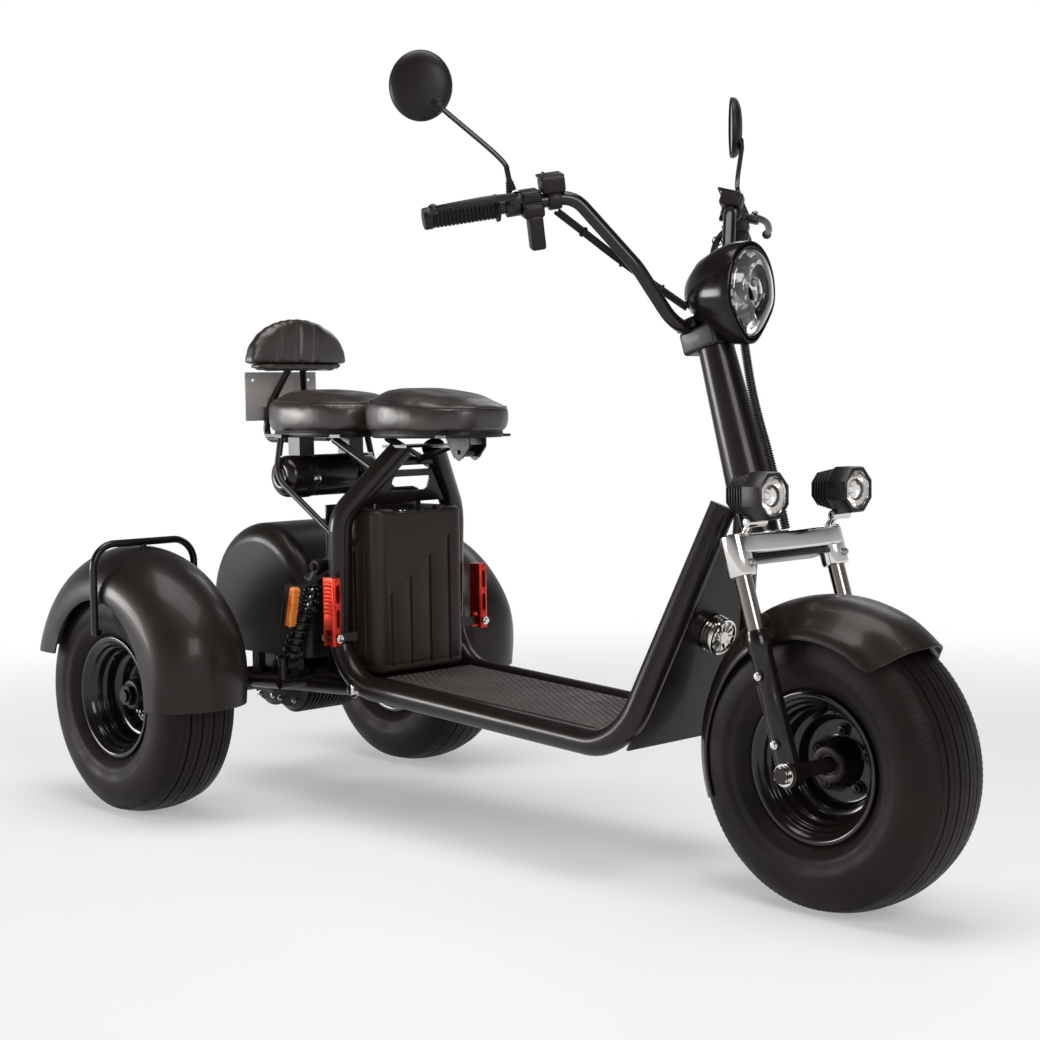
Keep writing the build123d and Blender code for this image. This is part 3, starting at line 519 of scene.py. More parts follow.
# %% Black paints
def black_paint(name, colour, roughness, coat, peel=0.00012):
    """Sprayed paint: a drifting black, a shallow orange peel and dull patches."""
    made = finish(name, colour, roughness, 0.0, coat, 0.1, 0.22)
    lighter = tuple(value * 1.7 for value in colour)
    drift(made, colour, lighter, noise(made, 4, 5))
    patchy(made, roughness * 0.82, roughness * 1.3, noise(made, 14, 6))
    relief(made, noise(made, 240, 2), peel, 0.35)
    return made


def cast_metal(name, colour, roughness, metallic):
    """Cast or forged metal: a coarse skin with darker hollows."""
    made = finish(name, colour, roughness, metallic)
    drift(made, tuple(value * 0.6 for value in colour), colour, noise(made, 50, 6), 0.3, 0.62)
    patchy(made, roughness * 0.8, roughness * 1.35, noise(made, 30, 5))
    relief(made, noise(made, 520, 4), 0.0003, 0.5)
    return made


# %% [markdown]
# Chrome and polished steel need their reflections broken up a little, or they look drawn: a faint smear of
# fingerprints goes into the roughness, and the surface is very slightly uneven.

# %% Bright metals
def bright_metal(name, colour, roughness, smear):
    """Plated or polished metal with a faint smear."""
    made = finish(name, colour, roughness, 1.0)
    patchy(made, roughness, roughness + smear, noise(made, 45, 7), 0.35, 0.8)
    relief(made, noise(made, 130, 2), 0.00004, 0.3)
    return made


def anodised_metal():
    """Red anodised aluminium: dyed metal with a fine satin grain."""
    made = finish("red_anodised", (0.62, 0.035, 0.018), 0.34, 0.85)
    drift(made, (0.5, 0.02, 0.012), (0.72, 0.06, 0.03), noise(made, 40, 5))
    relief(made, noise(made, 900, 2, (1, 1, 0.15)), 0.00008, 0.5)
    return made


# %% [markdown]
# The seat covers are a coated leather. Its grain is small cells with creases between them, which is what a
# cell pattern's distance gives, and the larger soft wrinkles come from a slow noise under it. The gloss
# drifts in soft patches, as it does on a cover that is sat on.

# %% Leather
def seat_leather():
    """Black coated leather with a pebbled grain."""
    made = finish("seat_leather", (0.019, 0.0135, 0.0112), 0.38, 0.0, 0.2, 0.40, 0.65)
    cells = add_node(made, "ShaderNodeTexVoronoi", {"feature": "DISTANCE_TO_EDGE"}, Scale=620, Randomness=0.9)
    wire(made, place(made), cells.inputs["Vector"])
    drift(made, (0.012, 0.0085, 0.0070), (0.030, 0.0215, 0.0178), noise(made, 12, 6))
    patchy(made, 0.28, 0.44, noise(made, 26, 6))
    relief(made, noise(made, 34, 4, (1, 1, 1.4)), 0.0016, 0.35)
    relief(made, cells.outputs["Distance"], 0.00022, 0.5)
    return made


def stitch_thread():
    """Waxed thread of the seams."""
    made = finish("stitch_thread", (0.05, 0.043, 0.038), 0.6)
    relief(made, noise(made, 2600, 2), 0.0002, 0.7)
    return made


# %% [markdown]
# Moulded plastic has a spark-eroded grain, which is finer than leather's and has no creases. Gloss mouldings,
# such as the lamp's shell, have almost none.

# %% Plastics
def moulded(name, colour, roughness, grain):
    """Moulded plastic with its tool's grain."""
    made = finish(name, colour, roughness, specular=0.25)
    drift(made, colour, tuple(value * 1.5 for value in colour), noise(made, 7, 5))
    patchy(made, roughness * 0.88, roughness * 1.2, noise(made, 20, 6))
    relief(made, noise(made, 1100, 3), grain, 0.6)
    return made


def clear_plastic(name, tint, roughness=0.02):
    """A clear lens."""
    made = finish(name, tint, roughness)
    shader_input(made, "Transmission Weight").default_value = 1.0
    shader_input(made, "IOR").default_value = 1.49
    return made


def amber_plastic():
    """The turn signals' amber lens, with a pressed grain that scatters its light."""
    made = finish("amber_lens", (0.86, 0.2, 0.02), 0.22, 0.0, 0.7, 0.05)
    shader_input(made, "Subsurface Weight").default_value = 0.25
    shader_input(made, "Subsurface Scale").default_value = 0.01
    drift(made, (0.74, 0.13, 0.012), (0.92, 0.3, 0.04), noise(made, 50, 3))
    relief(made, noise(made, 420, 1), 0.0004, 0.5)
    return made


def pale_paint():
    """The number plate's board: pale grey paint, faintly scuffed."""
    made = finish("pale_paint", (0.42, 0.4, 0.385), 0.42)
    drift(made, (0.36, 0.34, 0.33), (0.5, 0.48, 0.465), noise(made, 10, 6))
    patchy(made, 0.34, 0.55, noise(made, 40, 5))
    relief(made, noise(made, 300, 2), 0.0001, 0.3)
    return made


# %% [markdown]
# Each finish is made once, and every piece of that stuff shares it.

# %% The finishes in use
rubber = tyre_rubber()
soft_rubber = grip_rubber()
mat_finish = mat_rubber()
frame_black = black_paint("frame_black", (0.0078, 0.0054, 0.0046), 0.32, 0.22)
rim_black = black_paint("rim_black", (0.0062, 0.0044, 0.0039), 0.2, 0.5)
fender_black = black_paint("fender_black", (0.0105, 0.0076, 0.0066), 0.36, 0.12)
bar_black = black_paint("bar_black", (0.0068, 0.0049, 0.0043), 0.24, 0.35)
chrome = bright_metal("chrome", (0.72, 0.7, 0.685), 0.07, 0.12)
steel = bright_metal("steel", (0.5, 0.48, 0.46), 0.24, 0.2)
dark_cast = cast_metal("dark_cast", (0.024, 0.0185, 0.0165), 0.42, 0.55)
black_cast = cast_metal("black_cast", (0.0095, 0.007, 0.0062), 0.38, 0.2)
red_anodised = anodised_metal()
leather = seat_leather()
thread = stitch_thread()
battery_plastic = moulded("battery_plastic", (0.0185, 0.0128, 0.0105), 0.42, 0.00018)
black_plastic = moulded("black_plastic", (0.0082, 0.006, 0.0053), 0.40, 0.00012)
gloss_plastic = moulded("gloss_plastic", (0.0065, 0.0048, 0.0043), 0.16, 0.00003)
# The fork tubes' chrome is darkened in its colour: a painted dark reflection of the dim surroundings that bright
# chrome would mirror.
dark_reflection_chrome = bright_metal("dark_reflection_chrome", (0.26, 0.235, 0.22), 0.09, 0.14)
lens_plastic = clear_plastic("lens_plastic", (0.97, 0.97, 0.97))
amber = amber_plastic()
plate_grey = pale_paint()
print("finishes:", len(bpy.data.materials))

# %% [markdown]
# The frame's own pieces that are already the right shape only need a finish: the rails, brackets, axles and
# struts. Their material slots are filled, and nothing else about them is touched.

# %% Finishes for the pieces of the fixed frame
carried = {
    frame_black: ["frame_rail_left", "frame_rail_right", "head_tube", "frame_panels", "floor_plate",
                  "seat_frame", "rear_seat_frame", "swingarm", "steering_column"],
    bar_black: ["handlebar", "fender_stays"],
    fender_black: ["drive_cover"],
    black_cast: ["seat_plate"],
    dark_cast: ["rear_axle", "front_axle"],
    plate_grey: ["plate_panel"],
}
for material, nodes in carried.items():
    for name in nodes:
        piece = frame["nodes"][name]
        for slot in piece.material_slots:
            slot.material = material
        if not piece.material_slots:
            piece.data.materials.append(material)
print("carried over:", sum(len(nodes) for nodes in carried.values()))


# %% [markdown]
# ## Wheels
# A tyre is the same all the way round, so it is one section spun about its axle. The section could be a
# smooth curve with the tread painted on, but the grooves show in the outline at the top of the tyre, so they
# are cut into the section itself: wide grooves with narrow ones between them, and a rib where the sidewall
# meets the rim.

# %% The section of a tyre
half_tyre = tyre_width / 2
bead_half, bead_radius, flange_radius = 0.057, 0.104, 0.118
shoulder_half, shoulder_drop = 0.061, 0.010


def sidewall(steps=20):
    """One side of the tyre, from the rim to the shoulder: a rib guards the rim, then it is full and round."""
    points = []
    for step in range(steps + 1):
        part = step / steps
        radius = flange_radius + (tyre_radius - shoulder_drop - flange_radius) * part
        bulge = math.sin(math.pi * min(1.0, part * 1.02)) ** 0.7
        rib = 0.0022 * math.exp(-((part - 0.20) / 0.055) ** 2)
        rib -= 0.0012 * math.exp(-((part - 0.33) / 0.04) ** 2)
        swell = (half_tyre - bead_half - 0.001) * bulge * (1 if part < 0.5 else 0.98)
        rise = (shoulder_half - bead_half) * part ** 3
        points.append((bead_half + 0.001 + swell + rise + rib, radius))
    return points


def tread_section(ribs=5):
    """The crown of the tyre from one shoulder to the other, with its grooves."""
    points = []
    rib = 2 * shoulder_half / ribs
    for index in range(ribs):
        left = -shoulder_half + rib * index
        cuts = [(left + rib * 0.5, 0.0006, 0.0009)]
        if index < ribs - 1:
            cuts.append((left + rib, 0.0017, 0.0042))
        for middle_of_cut, half_width, depth in cuts:
            for side, down in ((-1, 0), (-0.6, depth), (0.6, depth), (1, 0)):
                along = middle_of_cut + side * half_width
                crown = tyre_radius - shoulder_drop * abs(along / shoulder_half) ** 2.4
                points.append((along, crown - down))
    return points


right_wall = sidewall()
tyre_section = [(-bead_half, bead_radius)] + [(-along, out) for along, out in right_wall] + tread_section()
tyre_section += right_wall[::-1] + [(bead_half, bead_radius), (-bead_half, bead_radius)]
print("points in the tyre's section:", len(tyre_section))

# %% [markdown]
# The section is drawn once and spun about each wheel's own axle. The edge of the tread is finely toothed: one
# low tooth is made, a plain bar with its corners off, and copied around.

# %% Tyres
def tyre(name, hub, body, node):
    """A whole tyre with the fine teeth of its shoulders."""
    ring = spun(name, tyre_section, hub, steps=144)
    teeth = []
    for side in (-1, 1):
        edge = hub + Vector((0, side * (shoulder_half + 0.0045), tyre_radius - 0.0162))
        tooth = block(f"{name}_tooth", edge, (0.0046, 0.0150, 0.0030), (side * math.radians(-52), 0, 0))
        teeth.append(around(rounded(tooth, 0.0007, 1), f"{name}_teeth", 144, across, hub))
    return dress(joined(name, [ring, *teeth]), body, "tyre", rubber, node)


tyre("front_tyre_ribbed", front_hub, "front_wheel", "front_tyre")
tyre("rear_tyre_right_ribbed", right_hub, "rear_wheel_right", "rear_tyre_right")
tyre("rear_tyre_left_ribbed", left_hub, "rear_wheel_left", "rear_tyre_left")
print("tyres:", tyre_radius * 2, "across")

# %% [markdown]
# A pressed steel rim is also a section that is spun. Its face steps down from the lip to the flat where the
# nuts sit, in rolled curves that catch long highlights, so every step gets its own small radius in the
# section.

# %% The section of a rim
rim_section = [
    (0.0655, 0.1155), (0.0662, 0.1125), (0.0650, 0.1090), (0.0615, 0.1062), (0.0585, 0.1040),
    (0.0572, 0.1012), (0.0545, 0.0992), (0.0500, 0.0982), (0.0478, 0.0966), (0.0466, 0.0938),
    (0.0440, 0.0920), (0.0330, 0.0908), (0.0305, 0.0892), (0.0292, 0.0866), (0.0266, 0.0850),
    (0.0120, 0.0838), (0.0080, 0.0820), (0.0062, 0.0788), (0.0056, 0.0752), (0.0030, 0.0722),
    (-0.0030, 0.0700), (-0.0110, 0.0684), (-0.0150, 0.0656), (-0.0160, 0.0620), (-0.0162, 0.0420),
    (-0.0150, 0.0386), (-0.0040, 0.0352), (0.0060, 0.0322), (0.0190, 0.0300), (0.0225, 0.0288),
    (0.0240, 0.0262), (0.0240, 0.0130), (-0.0600, 0.0130), (-0.0610, 0.0310), (-0.0290, 0.0320),
    (-0.0290, 0.0580), (-0.0230, 0.0720), (-0.0150, 0.0790), (-0.0150, 0.0880), (-0.0240, 0.0985),
    (-0.0560, 0.0990), (-0.0620, 0.1040), (-0.0655, 0.1090), (-0.0655, 0.1155), (-0.0620, 0.1165),
    (-0.0575, 0.1150), (-0.0570, 0.1050), (0.0500, 0.1050), (0.0575, 0.1150), (0.0620, 0.1165),
    (0.0655, 0.1155),
]
nut_circle, nut_count = 0.0475, 5


def rim(name, hub, side, body, node, nut_finish):
    """A rim with its face to one side (+1 is left), its nuts, its hub cap and its valve."""
    axle = Vector((0, side, 0))
    disc = spun(name, rim_section, hub, axle, steps=96, sharp=50)
    hole = Vector((0, 0, 0.0800))
    slot_cut = barrel("slot", hub + axle * -0.06 + hole, hub + axle * 0.02 + hole, 0.0040, sides=16)
    bend = hub + axle * 0.050 + Vector((0, 0, 0.0790))
    valve = [
        barrel("stem", hub + axle * 0.030 + Vector((0, 0, 0.0855)), bend, 0.0045),
        barrel("cap", bend, hub + axle * 0.062 + Vector((0, 0, 0.0750)), 0.0038),
    ]
    valve = joined(name + "_valve", [rounded(part, 0.0008) for part in valve])
    dress(valve, body, "grip_rubber", soft_rubber)
    cut_away(disc, slot_cut)
    dress(smooth(disc, 40), body, "rim_black", rim_black, node)
    foot = hub + axle * -0.0164 + Vector((0, 0, nut_circle))
    nut = hex_bolt("nut", foot, axle, 0.015, 0.010)
    tip = rounded(barrel("tip", foot, foot + axle * 0.014, 0.0042), 0.001)
    nuts = around(joined("nut", [nut, tip]), name + "_nuts", nut_count, across, hub)
    dress(nuts, body, "bare_steel", nut_finish)
    cap_profile = [(0.0235, 0.0285), (0.0262, 0.0282), (0.0275, 0.0268), (0.0280, 0.0240), (0.0280, 0.0175),
                   (0.0270, 0.0160), (0.0235, 0.0155)]
    cap = spun(name + "_cap", cap_profile + [cap_profile[0]], hub, axle, steps=48)
    return dress(cap, body, "dark_metal", dark_cast)


rim("front_rim_pressed", front_hub, -1, "front_wheel", "front_rim", black_cast)
rim("rear_rim_right_pressed", right_hub, -1, "rear_wheel_right", "rear_rim_right", chrome)
rim("rear_rim_left_pressed", left_hub, 1, "rear_wheel_left", "rear_rim_left", chrome)
print("rims with", nut_count, "nuts each")

# %% [markdown]
# ## Fenders
# A fender is thin sheet metal pressed over a wheel. Its section hardly changes along the arch, so the section
# is spun about the axle, and then the rows of points are drawn in or out by a smooth rule of the angle. The
# wall comes last, from Solidify, once every face points outwards.

# %% Helpers for a fender
def step_between(value, low, high):
    """0 below low, 1 above high, and a smooth rise between them."""
    part = min(1.0, max(0.0, (value - low) / (high - low)))
    return part * part * (3 - 2 * part)


def both_halves(half_section):
    """A whole section from the half that goes from the crown down to the edge."""
    return [(-along, out) for along, out in half_section[::-1]] + half_section[1:]


def turned_point(point, centre, angle):
    """A point turned about the axle through a centre, in degrees, rearwards over the top."""
    return centre + Matrix.Rotation(math.radians(-angle), 3, "Y") @ (point - centre)


def fender_sheet(name, hub, half_section, start, sweep, rule, steps=84):
    """A fender's sheet; rule(angle, along, out) gives a point's new place along the axle and out from it."""
    first = Vector((math.cos(math.radians(start)), 0, math.sin(math.radians(start))))
    sheet = lathe(name, both_halves(half_section), hub, axis=across, outward=first, steps=steps, angle=sweep)
    for point in sheet.data.vertices:
        offset = point.co - hub
        out = math.hypot(offset.x, offset.z)
        angle = math.degrees(math.atan2(offset.z, offset.x)) % 360
        if angle > 300:
            angle -= 360
        along, new_out = rule(angle, offset.y, out)
        point.co = hub + Vector((offset.x * new_out / out, along, offset.z * new_out / out))
    return sheet


def sheet_metal(sheet, wall, hub):
    """Give the sheet its wall, inwards."""
    edit(sheet)
    bpy.ops.mesh.select_all(action="SELECT")
    bpy.ops.mesh.normals_make_consistent(inside=False)
    leave()
    crown = max(sheet.data.polygons, key=lambda face: (face.center - hub).length)
    if crown.normal.dot(crown.center - hub) < 0:
        sheet.data.flip_normals()
    return add_modifier(sheet, "SOLIDIFY", thickness=wall, offset=-1.0, use_even_offset=True)


def soft_edges(piece, wall):
    """Round the cut edges of sheet metal and shade the rest smooth."""
    return smooth(beveled(piece, wall * 0.42, 2, 60), 45)


# %% [markdown]
# A rear fender's section is half an ellipse over straight sides: its crown falls away into them with no edge
# at all. An arched opening shows the wheel, the tail is cut off level above the axle, and the front reaches
# down to it and is drawn in there. The opening and the level cuts are made with cutters, since a spun mesh
# has no rows along them.

# %% Rear fenders
rear_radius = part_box("rear_fenders")[1].z - right_hub.z
rear_half, rear_depth, rear_wall = 0.102, 0.090, 0.0032
rear_tail, rear_front = 0.0745, -0.006
opening_half, opening_height = 0.165, 0.190
rear_start, rear_sweep = -10, 182


def rear_half_section():
    """Half an ellipse for the crown, then the side straight down."""
    points = [(rear_half * math.sin(math.radians(6 * step)),
               rear_radius - rear_depth * (1 - math.cos(math.radians(6 * step)))) for step in range(16)]
    last = points[-1][1]
    return points + [(rear_half, last + (0.075 - last) * row / 5) for row in range(1, 6)]


def rear_rule(angle, along, out):
    """The front is drawn in below the shoulder."""
    share = step_between(out, 0.15, rear_radius)
    return along, out - share * 0.030 * (1 - step_between(angle, -4, 34)) ** 1.3


def rear_fender(name):
    """One rear fender over the right wheel."""
    sheet = fender_sheet(name, right_hub, rear_half_section(), rear_start, rear_sweep, rear_rule, steps=96)
    sheet_metal(sheet, rear_wall, right_hub)
    opening = barrel("opening", (0, -0.2, 0), (0, 0.2, 0), 1.0, sides=96)
    squash = Matrix.Diagonal((opening_half, 1, opening_height, 1))
    opening.data.transform(Matrix.Translation(right_hub) @ squash)
    cut_away(sheet, opening)
    depth = 0.3
    for label, ahead, level in (("front_cut", 0.2, rear_front), ("tail_cut", -0.25, rear_tail)):
        cut_away(sheet, block(label, right_hub + Vector((ahead, 0, level - depth / 2)), (0.5, 0.4, depth)))
    return soft_edges(sheet, rear_wall)


right_fender = rear_fender("rear_fender_right")
left_fender = mirrored(right_fender, "rear_fender_left")
dress(right_fender, "chassis", "fender_black", fender_black, "rear_fenders")
dress(left_fender, "chassis", "fender_black", fender_black)
for piece in (right_fender, left_fender):
    box = [Vector(corner) for corner in piece.bound_box]
    print(piece.name, [round(value, 3) for value in (*box[0], *box[6])], "faces:", len(piece.data.polygons))

# %% [markdown]
# The front fender is one swoosh. A round crown drops into a shallow valley on each side and then flares out
# again into the skirt. At the front it is cut off square above the tyre, with the skirt's corner raked back,
# and behind the legs it narrows into a plain flap. It turns with the fork, so it rides on the steering.

# %% Front fender
front_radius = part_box("front_fender")[1].z - front_hub.z - 0.004
front_wall = 0.0032
front_profile = [
    (0.0, 0.0), (0.014, 0.0006), (0.028, 0.0028), (0.040, 0.0068), (0.050, 0.0125), (0.058, 0.0195),
    (0.0645, 0.0265), (0.0705, 0.0325), (0.0770, 0.0375), (0.0835, 0.0425), (0.0885, 0.0485),
    (0.0912, 0.0550), (0.0920, 0.0610),
]
front_foot = front_radius - 0.0485
front_half, front_start, front_sweep = 0.092, 48.5, 151.5


def front_rule(angle, along, out):
    """Raked back at the front corner, full at the legs, and narrower, lower and shallower behind them."""
    behind = step_between(angle, 112, 160)
    tip = 1 - step_between(angle, 46, 66)
    along = along * (1 - 0.10 * behind - 0.03 * tip)
    if out < front_foot:
        full = step_between(angle, 47, 58) * (1 - 0.55 * behind)
        out = front_foot + (out - front_foot) * (0.25 + 0.75 * full)
    side = abs(along) / front_half
    return along, out - 0.010 * behind - 0.007 * tip * side + 0.003 * (1 - step_between(angle, 46, 50))


front_half_section = [(along, front_radius - down) for along, down in front_profile]
fender_front = fender_sheet("front_fender_swoosh", front_hub, front_half_section, front_start, front_sweep,
                            front_rule)
for point in fender_front.data.vertices:
    offset = point.co - front_hub
    angle = math.degrees(math.atan2(offset.z, offset.x)) % 360
    slack = (abs(offset.y) / front_half) ** 2 * (1 - step_between(angle, 48, 70))
    point.co = turned_point(point.co, front_hub, 4.5 * slack)
sheet_metal(fender_front, front_wall, front_hub)
soft_edges(fender_front, front_wall)
ears = []
for side in (-1, 1):
    centre = steered(fork_ahead, axle_up + 0.232, side * 0.096)
    outer = centre + across * side * 0.010
    ears.append(rounded(barrel("ear", centre - across * side * 0.006, outer, 0.011), 0.001))
    ears.append(hex_bolt("ear_bolt", outer, across * side, 0.010, 0.005))
fender_front = joined("front_fender_swoosh", [fender_front, *ears])
dress(fender_front, "steering", "fender_black", fender_black, "front_fender")
print("front fender faces:", len(fender_front.data.polygons))


# %% [markdown]
# ## Cushions
# A seat is foam under a tight leather cover. It could be drawn as a smooth surface, but a cover that holds
# foam in swells between its seams and pulls in at them, and that is what a cloth simulation with a little
# pressure does. So each cushion is first shaped as the foam block, then blown up by up to 3 millimetres as
# cloth, and last the welt and the stitches are laid along its seams, since the remesh before the simulation
# would have erased them.

# %% Shape of a foam block
def foam(name, node, shrink, shape, cuts=26):
    """A cube over the node's box, drawn into shape: shape(x, y, z) takes and gives parts from -1 to 1."""
    low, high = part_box(node)
    centre, size = (low + high) / 2, (high - low) / 2 - Vector((shrink, shrink, shrink * 0.6))
    deselect()
    bpy.ops.mesh.primitive_cube_add(size=2, location=(0, 0, 0))
    piece = subdivided(named(name), cuts)
    for point in piece.data.vertices:
        new = shape(*point.co)
        point.co = centre + Vector((new[0] * size.x, new[1] * size.y, new[2] * size.z))
    return tidy(piece)


def swollen(piece, most, frames=18, pressure=2.0, voxel=0.0055, held=lambda point: False):
    """Blow the foam's cover up as cloth, let no point move further than most, and smooth the result."""
    add_modifier(piece, "REMESH", mode="VOXEL", voxel_size=voxel)
    start = [point.co.copy() for point in piece.data.vertices]
    stuck = piece.vertex_groups.new(name="stuck")
    stuck.add([point.index for point in piece.data.vertices if held(point.co)], 1.0, "ADD")
    cloth = piece.modifiers.new("Cover", "CLOTH")
    cloth.settings.use_pressure = True
    cloth.settings.uniform_pressure_force = pressure
    cloth.settings.effector_weights.gravity = 0
    cloth.settings.vertex_group_mass = "stuck"
    cloth.settings.tension_stiffness = cloth.settings.compression_stiffness = 12
    cloth.settings.bending_stiffness = 0.5
    cloth.point_cache.frame_end = frames
    for step in range(1, frames + 1):
        bpy.context.scene.frame_set(step)
    only(piece)
    bpy.ops.object.modifier_apply(modifier=cloth.name)
    bpy.context.scene.frame_set(1)
    piece.vertex_groups.clear()
    for point, before in zip(piece.data.vertices, start):
        shift = point.co - before
        if shift.length > most:
            point.co = before + shift.normalized() * most
    add_modifier(piece, "SMOOTH", factor=0.5, iterations=12)
    add_modifier(piece, "SUBSURF", levels=1, render_levels=1)
    only(piece)
    bpy.ops.object.shade_smooth()
    return piece


def surface_from(piece, origin, direction):
    """Where a straight line from a point first meets the piece."""
    found, hit, normal = piece.ray_cast(origin, direction)[:3]
    return (hit, normal) if found else (None, None)


def rim_loop(piece, centre, height, count=72, rise=lambda direction: 0.0):
    """Points around a cushion at one height, found by looking in at it from outside."""
    points = []
    for index in range(count):
        angle = 2 * math.pi * index / count
        outward = Vector((math.cos(angle), math.sin(angle), 0))
        level = Vector((centre.x, centre.y, height + rise(outward)))
        hit, normal = surface_from(piece, level + outward * 0.4, -outward)
        if hit:
            points.append(hit + normal * 0.0008)
    return points


def welt(name, points, radius, body):
    """A leather cord sewn into a seam, all the way round."""
    piece = pipe(name, points + points[:2], radius, sides=8)
    return dress(piece, body, "seat_cover", leather)


def stitches(name, points, body, length=0.0042, gap=0.0028):
    """A row of stitches that follows a line of points."""
    row, ahead = [], 0.0
    for before, after in zip(points, points[1:]):
        run = after - before
        while ahead + length < run.length:
            start = before + run.normalized() * ahead
            row.append((start, start + run.normalized() * length))
            ahead += length + gap
        ahead = max(0.0, ahead - run.length)
    first = barrel(name, (0, 0, 0), (0, 0, length), 0.00055, sides=6)
    made = []
    for start, end in row:
        made.append(laid(copy_of(first, name), start, end - start))
    bpy.data.objects.remove(first)
    return dress(joined(name, made), body, "seat_cover", thread) if made else None


# %% [markdown]
# Seen from above the front seat is an egg, broad behind and narrower in front. Its sides stand nearly
# upright, and its top is a soft pillow that is high behind and falls away forwards. The rear seat is shorter
# and squarer. Both get a welt around the top panel, a hem below, and a moulded pan that the cover is tacked
# to.

# %% Front and rear seat
def saddle(narrow_front, edge_behind, edge_ahead, pillow):
    """The rule that turns a cube into a seat; edges and pillow are in shares of half its height."""
    def shape(x, y, z):
        length_share = 1 - narrow_front * step_between(x, -0.2, 1.0)
        ring = max(abs(x), abs(y)) or 1e-6
        stretch = ring / (abs(x) ** 2.7 + abs(y) ** 2.7) ** (1 / 2.7)
        forward = step_between(x, -0.7, 1.1)
        x, y = x * stretch, y * stretch * length_share
        edge = step_between(ring, 0.55, 1.0)
        side = 1 - 0.045 * step_between(z, 0.35, 1.0) - 0.025 * step_between(-z, 0.45, 1.0)
        rim = edge_behind - (edge_behind - edge_ahead) * forward
        dish = 0.05 * math.exp(-((ring - 0.30) / 0.22) ** 2)
        top = rim + pillow * (1 - 0.55 * forward) * (1 - ring ** 2.4) - dish - 0.10 * edge ** 5
        height = top * z if z > 0 else (1 - 0.03 * edge) * z
        round_off = 1 - 0.10 * edge * step_between(z, 0.74, 1.0) - 0.03 * edge * step_between(-z, 0.85, 1.0)
        return x * side * round_off, y * side * round_off, height
    return shape


def seat_pan(name, points, top, bottom, inset, body):
    """A moulded pan under a cushion: its outline follows the hem, drawn in a little."""
    centre = sum(points, Vector()) / len(points)
    ring = [point + (centre - point).normalized() * inset for point in points]
    pan = outline(name, [Vector((point.x, point.y, top)) for point in ring], closed=True)
    pan = rounded(extruded(pan, (0, 0, bottom - top)), 0.0025, 2, 50)
    return dress(pan, body, "black_plastic", black_plastic)


seam_drop, stitch_drop, hem_rise = 0.0245, 0.0295, 0.006
for name, node, body, rule, fall in (
    ("front_seat_cushion", "front_seat", "seat", saddle(0.16, 0.66, 0.30, 0.36), 0.020),
    ("rear_seat_cushion", "rear_seat", "chassis", saddle(0.05, 0.66, 0.50, 0.36), 0.009),
):
    low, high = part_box(node)
    pad = foam(name, node, 0.006, rule)
    pad = swollen(pad, 0.003, held=lambda point, floor=low.z: point.z < floor + 0.006)
    ceiling, floor, centre = high.z - 0.0005, low.z + 0.0006, middle(node)
    for point in pad.data.vertices:
        offset = point.co - centre
        crease = math.exp(-((offset.x - 0.35 * abs(offset.y) + 0.085) / 0.005) ** 2)
        crease += 0.7 * math.exp(-((offset.x - 0.22 * abs(offset.y) + 0.055) / 0.004) ** 2)
        if offset.z > 0.018 and abs(offset.y) < 0.085:
            point.co.z -= 0.0016 * crease * (1 - (offset.y / 0.085) ** 2)
        point.co.z = min(max(point.co.z, floor), ceiling)
    dress(pad, body, "seat_cover", leather, node)
    slope = lambda outward, fall=fall: -fall * (outward.x + 1) / 2
    seam = rim_loop(pad, centre, high.z - seam_drop, rise=slope)
    welt(name + "_welt", seam, 0.0020, body)
    stitches(name + "_stitches", rim_loop(pad, centre, high.z - stitch_drop, 140, slope), body)
    welt(name + "_hem", rim_loop(pad, centre, low.z + hem_rise), 0.0026, body)
    pan_line = rim_loop(pad, centre, low.z + 0.010)
    seat_pan(name + "_pan", pan_line, low.z + hem_rise, low.z - 0.0055, 0.005, body)
    print(name, "faces:", len(pad.data.polygons), "seam points:", len(seam))

# %% [markdown]
# The backrest is a half disc on a board. Its cover is pulled over the edge and tacked below: that leaves
# faint tucks along the arch, a gathered roll under its lower edge, and soft folds that run down its front.

# %% Backrest
def backrest_shape(x, y, z):
    """The rule that turns a cube into the half disc, thicker in the middle and below."""
    height = (z + 1) / 2
    width = math.sqrt(max(0.0, 1 - (0.995 * height) ** 2.2))
    corner = 1 - 0.16 * step_between(abs(y), 0.7, 1.0) * abs(x) ** 2
    thick = (0.62 + 0.38 * math.sqrt(max(0.0, 1 - (abs(y) * 0.96) ** 2.4))) * (1 - 0.42 * height ** 2.2)
    tilt = 0.02 * height
    return x * thick * corner + tilt, y * max(width, 0.02), z * (0.985 if z < 0 else 1.0)


low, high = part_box("backrest")
rest_pad = foam("backrest_cushion", "backrest", 0.004, backrest_shape)
rest_pad = swollen(rest_pad, 0.0025, voxel=0.0045, held=lambda point, floor=low.z: point.z < floor + 0.004)
rest_centre = middle("backrest")
arch_centre = Vector((rest_centre.x, 0, low.z))
fold_lines = ((-0.060, 0.0022), (-0.012, 0.0040), (0.030, 0.0026))
for point in rest_pad.data.vertices:
    offset = point.co - arch_centre
    reach = math.hypot(offset.y / high.y, offset.z / (high.z - low.z))
    turn = math.atan2(offset.z, offset.y)
    tuck = math.sin(turn * 27 + 2.4 * math.sin(turn * 3.1)) * 0.0005 * step_between(reach, 0.80, 0.98)
    folds = 0.0
    for place_y, depth in fold_lines:
        folds += depth * math.exp(-((offset.y - place_y - 0.10 * offset.z) / 0.0065) ** 2)
    front = step_between(offset.x, 0.0, 0.012)
    point.co.x -= folds * front * step_between(0.99 - reach, 0.0, 0.25)
    point.co += Vector((0, offset.y, offset.z)).normalized() * tuck
    point.co.z = max(point.co.z, low.z + 0.0006)
dress(rest_pad, "chassis", "seat_cover", leather, "backrest")
line = []
